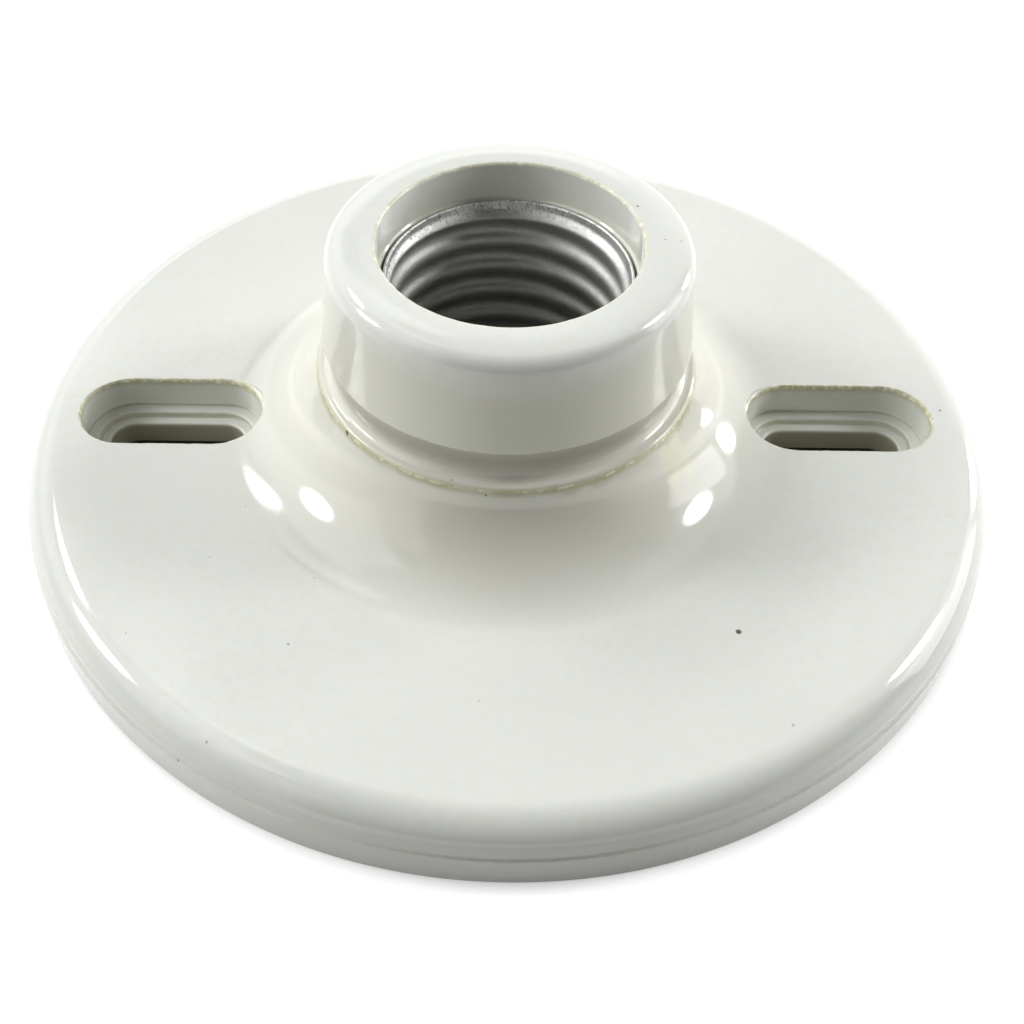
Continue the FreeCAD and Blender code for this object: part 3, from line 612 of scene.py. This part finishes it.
# The rolled wall and floor as one ring of sheet.  With w the depth of the rolled wave below its crest,
# arcs of one radius that meet half way, r(a, z) = crest - fade(z) * w(z / pitch - a / turn) - the
# rest of the fade times the mean depth; the outside is the same a sheet's thickness along the normal.
def shellRows():
    s = shell
    crest, sheet, pitch, knuckle = shellOuter - s["sheet"], s["sheet"], s["pitch"], s["knuckle"]
    a = np.linspace(0, fullTurn, s["segments"], endpoint=False)[None]
    floor = shellLow.z / mm + sheet
    start, stop = shellTop - s["lip"], floor + s["corner"]
    mean = knuckle - math.sqrt(knuckle ** 2 - (pitch / 4) ** 2)

    def smooth(t):
        t = np.clip(t, 0, 1)
        return t * t * (3 - 2 * t)

    def wall(z, offset):
        turns = (z - start) / pitch - a / fullTurn
        away = (turns + 0.5) % 1 - 0.5
        q = np.abs(away) * pitch
        near = q <= pitch / 4
        part = np.where(near, q, pitch / 2 - q)
        height = np.sqrt(knuckle ** 2 - part ** 2)
        depth = np.where(near, knuckle - height, 2 * mean - knuckle + height)
        slope = np.sign(away) * part / height
        upper, lower = smooth((start - z) / s["runOut"]), smooth((z - stop) / s["runOut"])
        drop = upper * (lower * depth + (1 - lower) * mean)
        tilt = upper * lower * slope
        length = np.hypot(1, tilt)
        return crest - drop + offset / length, z + offset * tilt / length

    def ringRows(r, z):
        shape = (len(r), s["segments"])
        return np.broadcast_to(np.asarray(r)[:, None], shape), np.broadcast_to(np.asarray(z)[:, None], shape)

    def cornerRows(offset, count=7):
        b = np.radians(np.linspace(0, 90, count)[1:])
        centre, reach = crest - mean - s["corner"], s["corner"] + offset
        return ringRows(centre + reach * np.cos(b), floor + s["corner"] - reach * np.sin(b))

    edge = np.radians(np.linspace(180, 0, 9))
    lipEdge = ringRows(crest + sheet / 2 * (1 + np.cos(edge)), shellTop - sheet / 2 * (1 - np.sin(edge)))
    inner = wall(np.linspace(start, stop, s["innerRows"])[:, None] + 0 * a, 0.0)
    outer = wall(np.linspace(start, stop, s["outerRows"])[:, None] + 0 * a, sheet)
    hole = ringRows([s["floorHole"], s["floorHole"]], [floor, floor - sheet])
    innerCorner, outerCorner = cornerRows(0.0), cornerRows(sheet)
    parts = [lipEdge, outer, outerCorner, [h[::-1] for h in hole], [c[::-1] for c in innerCorner],
             [i[::-1] for i in inner]]
    r, z = (np.concatenate([part[k] for part in parts]) for k in (0, 1))
    return np.stack((r * np.cos(a), r * np.sin(a), z), -1)


def buildShell(finish):
    rows = shellRows()
    mesh = meshFrom("shell", rows.reshape(-1, 3), [gridFaces(len(rows), rows.shape[1], loopRows=True)])
    piece = addObject("screwShell", mesh)
    x, y = middleOf("right_shell_screw")
    low = shellLow.z / mm
    holes = [bar("hole", side * x, y, shell["screwHole"], low - runPast, low + runPast) for side in (-1, 1)]
    carve(piece, [("DIFFERENCE", together("holes", holes))])
    shadeSmooth(piece, 40)
    finishPiece(piece, finish, "shell_aluminium", "lampholder", "screw_shell")


# Screws, millimetres.  Both kinds have a slotted head with a rounded rim and a cut thread.
screws = {
    "terminal": {"shank": 2.08, "pitch": 0.794, "depth": 0.3, "head": 2.2, "slotWidth": 1.1, "slotDepth": 0.9,
                 "rim": 0.7},
    "shell": {"shank": 1.73, "pitch": 0.706, "depth": 0.25, "head": 1.6, "slotWidth": 1.1, "slotDepth": 0.9,
              "rim": 0.7},
}


# One screw about its own axis: the head's profile, then a shank whose radius falls by the thread's
# depth times a triangle wave of (z / pitch - angle / turn), fading in at both ends.
def buildScrew(node, kind, headDown, finish, slotName, body):
    k = screws[kind]
    shankRadius = k["shank"]
    low, high = (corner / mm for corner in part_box(node))
    x, y = (low.x + high.x) / 2, (low.y + high.y) / 2
    headRadius = (high.x - low.x) / 2
    seat = k["head"]
    length = high.z - low.z - seat
    headCorners = [(0, 0, 0), (headRadius, 0, k["rim"]), (headRadius, seat, 0.12), (shankRadius, seat, 0)]
    head = rounded(headCorners)[:-1]
    tip = shankRadius * 0.3
    z = np.linspace(seat + 0.02, seat + length - tip, 110)
    shank = np.column_stack((np.full(len(z), shankRadius - 0.02), z))
    end = np.array([(shankRadius - tip, seat + length), (0, seat + length)])
    profile = np.concatenate((head, shank, end))

    def thread(rows, share):
        turns = rows[:, 1, None] / k["pitch"] - share[None]
        wave = np.abs((turns % 1) * 2 - 1)
        fadeIn = np.clip((rows[:, 1] - seat - 0.1) / 0.5, 0, 1)
        fadeOut = np.clip((z[-1] - rows[:, 1]) / 0.3 + 0.4, 0, 1)
        return -k["depth"] * wave * (fadeIn * fadeOut * (rows[:, 1] > seat))[:, None]

    mesh = turned(node, profile, 96, thread)
    piece = addObject(node + "_cut", mesh)
    reach, half = headRadius + runPast, k["slotWidth"] / 2
    outline = np.array([(-reach, -half), (reach, -half), (reach, half), (-reach, half)])
    carve(piece, [("DIFFERENCE", prism("slot", outline, -runPast, k["slotDepth"]))])
    base = low.z if headDown else high.z
    flip = Matrix.Identity(4) if headDown else Matrix.Diagonal((1, -1, -1, 1))
    piece.data.transform(Matrix.Translation(Vector((x, y, base)) * mm) @ flip)
    shadeSmooth(piece, 35)
    finishPiece(piece, finish, slotName, body, node)


# Finishes.

glaze = {
    "colour": (0.79, 0.81, 0.765),
    "thin": (0.60, 0.56, 0.28),         # where the glaze runs thin over an arris
    "pale": (0.86, 0.85, 0.62),         # and where it breaks there
    "olive": (0.50, 0.50, 0.30),        # painted shade beside the thin line, where the surface turns down off an arris
    "cool": (0.735, 0.77, 0.72),        # faint mottling
    "warm": (0.79, 0.765, 0.69),
    "aged": (0.765, 0.755, 0.665),      # yellower tone round the collar and neck
    "rust": (0.62, 0.47, 0.36),         # stain beside the thin glaze
    "grey": (0.43, 0.415, 0.35),        # painted shade in the undercut groove below the collar
    "inside": (0.56, 0.545, 0.455),     # painted shade on the slots' walls
    "deep": (0.36, 0.35, 0.27),         # painted shade down in the slots
    "bare": (0.80, 0.78, 0.72),         # unglazed foot
    "chip": (0.93, 0.92, 0.80),         # small breaks on an arris
    "yellow": (0.83, 0.85, 0.55),       # the yellow patch on the flare
    "dirt": (0.10, 0.09, 0.07),
    "roughness": 0.07,
    # dark specks in the glaze: place, radius and strength
    "specks": [
        ((24.3, -32.6, 8.7), 0.38, 0.95), ((-17.4, -13.0, 17.8), 0.36, 0.95), ((14.0, 6.1, 34.1), 0.18, 0.8),
        ((16.5, 0.1, 34.1), 0.12, 0.7), ((18.2, 0.1, 33.9), 0.12, 0.7), ((-10.2, 15.7, 33.8), 0.15, 0.4),
        ((-32.8, -46.5, 4.5), 0.2, 0.6), ((-29.4, -46.7, 8.2), 0.18, 0.6), ((-22.5, -35.0, 8.7), 0.18, 0.6),
        ((-32.3, -23.3, 8.7), 0.12, 0.5), ((-39.6, -33.8, 8.7), 0.13, 0.4), ((28.3, -44.1, 8.7), 0.22, 0.4),
        ((-2.7, -41.7, 8.7), 0.14, 0.3), ((52.6, 1.4, 8.7), 0.22, 0.6), ((-30.0, -10.2, 8.8), 0.14, 0.4),
        ((-29.3, -15.6, 8.7), 0.12, 0.4), ((-5.8, -20.4, 18.3), 0.15, 0.45), ((-2.2, -21.7, 17.4), 0.17, 0.6),
    ],
    "yellowed": ((19.2, -14.0, 14.6), 3.8),     # yellow patch on the flare, front right
}


def glazedPorcelain():
    g, p, s = glaze, porcelain, slots
    f = Finish("glazed porcelain")
    spot, x, y, z = f.place()
    r = (x * x + y * y) ** 0.5
    uneven = f.noise(spot, 3.0, 3.0, 1.0)
    fine = f.noise(spot, 0.7, 3.0, 2.0)
    cloudy = f.noise(spot, 22.0, 2.0, 3.0)
    mottled = f.noise(spot, 1.3, 2.0, 9.0)
    broken = (uneven * 0.6 + fine * 0.4).step(0.38, 0.60)
    along = (x.size() - slotPlace).size() - (s["length"] - s["width"]) / 2
    along = along.atLeast(0)
    slotDistance = (along * along + y * y) ** 0.5 - s["width"] / 2
    wander = uneven * 0.36 - 0.18
    onNeck = r.step(p["neckRadius"] - 0.45, p["neckRadius"] - 0.1)
    neckShadeBand = onNeck * (z + wander * 0.6).band(p["neckHeight"] - 0.05, 0.85)
    neckEdge = onNeck * (z + wander * 0.4).band(p["neckHeight"] + 0.05, 0.3)
    footEdge = r.band(footRadius - 0.1, 0.5) * (z + wander * 0.5).band(p["collarFoot"] + 0.1, 0.36)
    mouthEdge = (r + wander * 0.4).band(mouthRadius + 0.12, 0.4) * z.step(collarTop - 0.6, collarTop - 0.15)
    nearDisc = z.step(p["discHeight"] - 0.7, p["discHeight"] - 0.35)
    slotEdge = (slotDistance + wander * 0.6).band(0.08, 0.4) * nearDisc
    slotShadeBand = slotDistance.step(0.3, 0.1) * (z + wander * 1.2).band(p["discHeight"] - 0.45, 0.75)
    ledgeEdge = (slotDistance + s["ledge"]).band(0.0, 0.3) * z.band(p["discHeight"] - s["depth"], 0.4)
    bandEdge = r.step(rimRadius - 0.6, rimRadius - 0.1) * (z + wander).band(p["bandHeight"] + 0.1, 0.5)
    thin = (neckEdge + mouthEdge * 0.9 + slotEdge).atMost(1.0) * (broken * 0.7 + 0.3)
    thin = (thin + footEdge * 0.4 * broken + ledgeEdge * 0.3 + bandEdge * 0.12).atMost(1.0)
    chips = fine.step(0.56, 0.62) * (neckEdge * x.step(3, 10) + slotEdge + mouthEdge).atMost(1.0)
    ledge = p["neckHeight"] + p["bead"]
    inGroove = r.step(grooveRadius + 0.85, grooveRadius + 0.25)
    # painted shade: the undercut groove below the collar is darkened
    shadedGroove = z.band((ledge + p["collarFoot"]) / 2 + 0.25, 2.2) ** 0.6 * inGroove
    ledgeHeight = p["discHeight"] - s["depth"]
    slotWall = slotDistance.step(0.0, -0.12) * z.step(p["discHeight"], p["discHeight"] - 0.7)
    slotLedge = slotDistance.step(-0.15, -0.4) * z.band(ledgeHeight, 0.4)
    slotLedge = slotLedge.atLeast(slotDistance.step(-1.6, -1.85) * z.band(ledgeHeight - s["stepDepth"], 0.4))
    slotDeep = slotDistance.step(-2.4, -2.6) * z.step(ledgeHeight - s["stepDepth"] - 0.1, ledgeHeight - 1.6)
    tone = f.mix(cloudy.step(0.35, 0.65), g["colour"], tuple(c * 0.97 for c in g["colour"]))
    tone = f.mix(mottled.step(0.45, 0.75) * 0.5, tone, g["cool"])
    tone = f.mix(f.noise(spot, 0.8, 2.0, 6.0).step(0.48, 0.75) * 0.7, tone, g["warm"])
    aged = r.step(38, 23) * z.step(collarTop - 1.0, collarTop - 5.0) * (cloudy * 0.5 + 0.55)
    tone = f.mix(aged, tone, g["aged"])
    tone = f.mix(shadedGroove * 0.95, tone, g["grey"])
    # painted shade on the slots' walls and deep down in them
    tone = f.mix(slotWall * (1 - slotLedge) * 0.9, tone, g["inside"])
    tone = f.mix(slotDeep, tone, g["deep"])
    # painted shade on the slots' walls just under the arris
    tone = f.mix(slotShadeBand * slotDistance.step(-0.6, -0.1) * 0.55, tone, g["olive"])
    centre, radius = g["yellowed"]
    yellowed = f.spot(spot, centre, radius) * uneven.step(0.36, 0.5)
    tone = f.mix(yellowed * 0.4, tone, g["yellow"])
    stained = r.step(p["neckRadius"] - 0.1, p["neckRadius"]) * (z + wander).band(p["neckHeight"] - 0.75, 0.6)
    tone = f.mix(stained * uneven.step(0.46, 0.66) * x.step(-6, 6) * 0.5, tone, g["rust"])
    # painted shade just inside the neck's arris, where the bead turns down
    tone = f.mix(neckShadeBand * (uneven.step(0.3, 0.55) * 0.4 + 0.5), tone, g["olive"])
    tone = f.mix(thin * 0.85, tone, f.mix(fine.step(0.42, 0.58), g["thin"], g["pale"]))
    tone = f.mix(chips, tone, g["chip"])
    foot = z.step(0.5, 0.1)
    tone = f.mix(foot, tone, g["bare"])
    marks = sum((f.spot(spot, centre, radius) * share for centre, radius, share in g["specks"]), 0)
    pinholes = f.noise(spot, 0.55, 1.0, 7.0).step(0.79, 0.83) * f.noise(spot, 9.0, 1.0, 8.0).step(0.5, 0.6)
    tone = f.mix((marks + pinholes * 0.5).atMost(1.0), tone, g["dirt"])
    rough = g["roughness"] + thin * 0.22 + slotWall * 0.15 + foot * 0.5 + fine * 0.03
    orange = f.noise(spot, 1.6, 2.0, 4.0)
    slow = f.noise(spot, 9.0, 2.0, 5.0)
    height = slow * 0.7 + orange * 0.06 - pinholes * 0.3 + fine * thin * 0.5 + fine * foot * 0.4
    normal = f.bump(height, 0.05)
    return f.surface(Base_Color=tone, Roughness=rough, IOR=1.5, Normal=normal)


metals = {
    # aluminium: its third colour is painted shade for deep inside the shell
    "aluminium": {"colour": (0.55, 0.55, 0.535), "worn": (0.87, 0.87, 0.86), "rough": 0.5,
                  "deep": (0.27, 0.27, 0.255), "rubbed": (0.20, 0.20, 0.195), "pit": (0.05, 0.05, 0.05)},
    "zinc": {"colour": (0.60, 0.61, 0.62), "worn": (0.75, 0.76, 0.77), "rough": 0.28},
    "brass": {"colour": (0.66, 0.46, 0.20), "worn": (0.80, 0.62, 0.34), "rough": 0.30},
    "strip": {"colour": (0.68, 0.49, 0.24), "worn": (0.84, 0.68, 0.42), "rough": 0.26},
    "nickel": {"colour": (0.64, 0.62, 0.57), "worn": (0.78, 0.77, 0.73), "rough": 0.26},
}


# Stamped or turned metal: a satin finish with tarnish in broad clouds, small pits, and fine scratches
# drawn out across the axis.
def metalFinish(name, kind):
    m = metals[kind]
    f = Finish(name)
    spot = f.place()[0]
    cloudy = f.noise(spot, 4.0, 3.0, 1.0).step(0.35, 0.7)
    drawn = f.node("Mapping", {"vector_type": "POINT"}, {"Vector": spot, "Scale": (0.5, 0.5, 6.0)})
    scratches = f.noise(drawn, 0.5, 4.0, 2.0)
    pits = f.noise(spot, 0.35, 2.0, 3.0).step(0.70, 0.76)
    tone = f.mix(cloudy, m["colour"], m["worn"])
    tone = f.mix(pits * 0.8, tone, tuple(c * 0.25 for c in m["colour"]))
    rough = m["rough"] + cloudy * -0.06 + scratches * 0.14 + pits * 0.2
    normal = f.bump(scratches * 0.5 - pits * 0.6, 0.02)
    return f.surface(Base_Color=tone, Metallic=1.0, Roughness=rough, Normal=normal)


# The shell's rolled aluminium: bright, worn and pitted at its top edge, darker and greyer down the
# thread where shade is painted in, with a grain that runs along the axis.
def shellFinish():
    m = metals["aluminium"]
    f = Finish("rolled aluminium")
    spot, x, y, z = f.place()
    drawn = f.node("Mapping", {"vector_type": "POINT"}, {"Vector": spot, "Scale": (3.0, 3.0, 0.45)})
    grain = f.noise(drawn, 0.9, 4.0, 2.0)
    speckle = f.noise(spot, 0.22, 2.0, 3.0)
    patches = f.noise(spot, 2.6, 3.0, 4.0)
    lip = z.step(shellTop - shell["lip"] - 1.4, shellTop - 0.5)
    worn = lip * patches.step(0.3, 0.6)
    handled = (lip * 0.75 + 0.12) * (1 - x.step(6, 12) * 0.75)
    rubbed = (speckle * 0.65 + grain * 0.35).step(0.50, 0.36) * handled
    pits = f.noise(spot, 0.5, 1.0, 5.0).step(0.70, 0.74) * (lip * 0.9 + 0.1)
    # painted shade: darker further down inside the shell
    deep = z.step(shellTop - 3, shellTop - 13)
    tone = f.mix(worn, m["colour"], m["worn"])
    tone = f.mix(grain.step(0.35, 0.7) * (1 - lip) * 0.4, tone, tuple(c * 0.75 for c in m["colour"]))
    tone = f.mix(deep * 0.55, tone, m["deep"])
    tone = f.mix(rubbed, tone, m["rubbed"])
    tone = f.mix(pits, tone, m["pit"])
    rough = m["rough"] - worn * 0.06 + grain * 0.16 + rubbed * 0.25 + pits * 0.3
    normal = f.bump(grain * 0.8 + speckle * 0.5 - pits * 0.7 + patches * 0.4, 0.03)
    return f.surface(Base_Color=tone, Metallic=1.0, Roughness=rough, Normal=normal)


# Rounding of the stamped pieces' edges, millimetres.
stampedEdges = {"strap": 0.12, "strip": 0.08}

buildPorcelain(glazedPorcelain())
print("porcelain built")
buildShell(shellFinish())
print("shell built")
zinc = metalFinish("zinc plate", "zinc")
nickel = metalFinish("nickel plate", "nickel")
brass = metalFinish("stamped brass", "brass")
strip = metalFinish("spring strip", "strip")
for side in ("left", "right"):
    buildScrew(side + "_shell_screw", "shell", False, zinc, "zinc_plated_steel", "lampholder")
buildScrew("hot_terminal_screw", "terminal", True, brass, "terminal_brass", "hot_screw")
buildScrew("neutral_terminal_screw", "terminal", True, nickel, "nickel_plate", "neutral_screw")
stamped("hot_terminal", stampedEdges["strap"], brass, "terminal_brass", "lampholder")
stamped("neutral_terminal", stampedEdges["strap"], nickel, "nickel_plate", "lampholder")
stamped("centre_contact", stampedEdges["strip"], strip, "contact_brass", "lampholder")
stamped("contact_rivet", stampedEdges["strip"], strip, "contact_brass", "lampholder")
print("metal pieces built")


# Studio.

studio = {
    "floorSize": 3.0,
    "floorPale": (0.75, 0.75, 0.75),    # the floor as it is seen
    "floorGlow": 0.62,
    "floorDark": (0.40, 0.40, 0.38),    # what it gives back to the object
    "floorUnder": (0.10, 0.095, 0.08),  # painted shade: the floor below the disc, made dark
    # white panels round the object, from and to in degrees to the left of straight behind, from and to in
    # degrees above the horizon, and strength as a share of white; where they overlap they add up
    "panels": {
        "walls": (-90, 140, -90, 20, 1.0),
        "leftWindow": (50, 115, 20, 65, 2.0),
        "leftEdge": (115, 140, 20, 50, 1.1),
        "backLeftLow": (35, 50, 20, 40, 2.0),
        "backLeftHigh": (35, 50, 40, 65, 0.8),
        "backPillar": (20, 35, 20, 65, 1.7),
        "backHigh": (5, 20, 40, 50, 2.0),
        "backLow": (-10, 20, 20, 30, 1.5),
        "backDim": (-40, -10, 20, 30, 0.7),
        "backFaint": (-55, 5, 30, 50, 0.3),
        "rightLow": (-90, -55, 20, 40, 1.9),
        "rightHigh": (-90, -55, 40, 65, 0.7),
        "frontRightLow": (-130, -90, -90, 10, 0.7),
    },
    "soft": 2.5,                        # degrees by which a panel fades on either side of its edge
    # name: azimuth from +X and height above the horizon in degrees, distance, width and height in metres,
    # watts
    "lamps": {
        "leftLamp": (133, 46, 0.9, 0.27, 0.11, 0.8),
        "leftFar": (171, 38, 0.9, 0.23, 0.24, 2.1),
        "rightLamp": (34, 12, 0.9, 0.14, 0.29, 2.5),
        "rightFar": (12, 36, 0.9, 0.19, 0.24, 2.2),
        "rightWindow": (11, 17, 0.9, 0.48, 0.38, 1.8),
    },
}


# A lamp is an ellipse, and a window a rectangle.
def addLamp(name, azimuth, height, distance, width, tall, watts):
    light = bpy.data.lights.new(name, "AREA")
    light.shape = "RECTANGLE" if name.endswith("Window") else "ELLIPSE"
    light.size, light.size_y, light.energy = width, tall, watts
    lamp = addObject(name, light)
    a, e = math.radians(azimuth), math.radians(height)
    lamp.location = Vector((math.cos(a) * math.cos(e), math.sin(a) * math.cos(e), math.sin(e))) * distance
    lamp.rotation_euler = lamp.location.to_track_quat("Z", "Y").to_euler()


# The surroundings are panels of light: each adds its strength where the turn, the angle of (-x, y), and the
# height, asin(z), both lie between its own two.
def buildSurroundings():
    world = bpy.data.worlds.new("studio")
    world.use_nodes = True
    bpy.context.scene.world = world
    w = Finish("studio", world.node_tree)
    way = w.node("TexCoord", give="Generated")
    x, y, z = (w.node("SeparateXYZ", sockets={0: way}, give=k) for k in range(3))
    turn = x.maths("ARCTAN2", x * -1, y) * (180 / math.pi)
    height = z.maths("ARCSINE", z) * (180 / math.pi)
    soft = studio["soft"]

    def between(angle, low, high):
        return angle.step(low - soft, low + soft) * angle.step(high + soft, high - soft)

    panels = studio["panels"].values()
    light = sum(between(turn, left, right) * between(height, low, high) * strength
                for left, right, low, high, strength in panels)
    camera = w.node("LightPath", give="Is Camera Ray")
    sky = w.node("Background", sockets={"Color": (1.0, 1.0, 1.0), "Strength": light.atLeast(camera)})
    w.output(sky, "OutputWorld")


def buildStudio():
    half = studio["floorSize"] / 2
    mesh = bpy.data.meshes.new("floor")
    corners = [(-half, -half, 0), (half, -half, 0), (half, half, 0), (-half, half, 0)]
    mesh.from_pydata(corners, [], [(0, 1, 2, 3)])
    floor = addObject("floor", mesh)
    f = Finish("pale floor")
    dark = f.node("BsdfDiffuse", sockets={"Color": studio["floorDark"]})
    white = f.node("BsdfDiffuse", sockets={"Color": studio["floorPale"]})
    glow = f.node("Emission", sockets={"Color": (1.0, 1.0, 1.0), "Strength": studio["floorGlow"]})
    bright = f.node("AddShader", sockets={0: white, 1: glow})
    spot, x, y, z = f.place()
    beyond = ((x * x + y * y) ** 0.5).step(rimRadius - 4, rimRadius + 2)
    # painted shade under the disc, seen through the slots
    under = f.node("BsdfDiffuse", sockets={"Color": studio["floorUnder"]})
    seen = f.node("MixShader", sockets={0: beyond, 1: under, 2: bright})
    camera = f.node("LightPath", give="Is Camera Ray")
    glossy = f.node("LightPath", give="Is Glossy Ray")
    chosen = f.node("MixShader", sockets={0: camera.atLeast(glossy), 1: dark, 2: seen})
    f.output(chosen)
    mesh.materials.append(f.material)
    buildSurroundings()
    for name, facts in studio["lamps"].items():
        addLamp(name, *facts)


# Camera: it stands at a distance from the origin, looks at it, then turns aside, tips and rolls a little.
cameraFacts = {
    "distance": 0.16717,
    "elevation": 45.398,
    "azimuth": -1.5947,
    "aside": -1.8613,
    "tip": -3.7768,
    "roll": 1.7859,
    "focal": 46.70,
    "shift": (0.0545, 0.0380),
}


def buildCamera():
    c = cameraFacts
    e, a = math.radians(c["elevation"]), math.radians(c["azimuth"])
    place = Vector((math.sin(a) * math.cos(e), -math.cos(a) * math.cos(e), math.sin(e))) * c["distance"]
    forward = -place.normalized()
    right = forward.cross(Vector((0, 0, 1))).normalized()
    up = right.cross(forward)

    def turn(first, second, degrees):
        t = math.radians(degrees)
        return first * math.cos(t) + second * math.sin(t), second * math.cos(t) - first * math.sin(t)

    forward, right = turn(forward, right, c["aside"])
    forward, up = turn(forward, up, c["tip"])
    right, up = turn(right, up, c["roll"])
    camera = bpy.data.cameras.new("camera")
    camera.lens = c["focal"]
    camera.shift_x, camera.shift_y = c["shift"]
    camera.clip_start = 0.01
    view = addObject("camera", camera)
    view.matrix_world = Matrix.Translation(place) @ Matrix((right, up, -forward)).transposed().to_4x4()
    bpy.context.scene.camera = view


buildStudio()
buildCamera()
bpy.context.scene.view_settings.view_transform = "Standard"
print("studio and camera set")
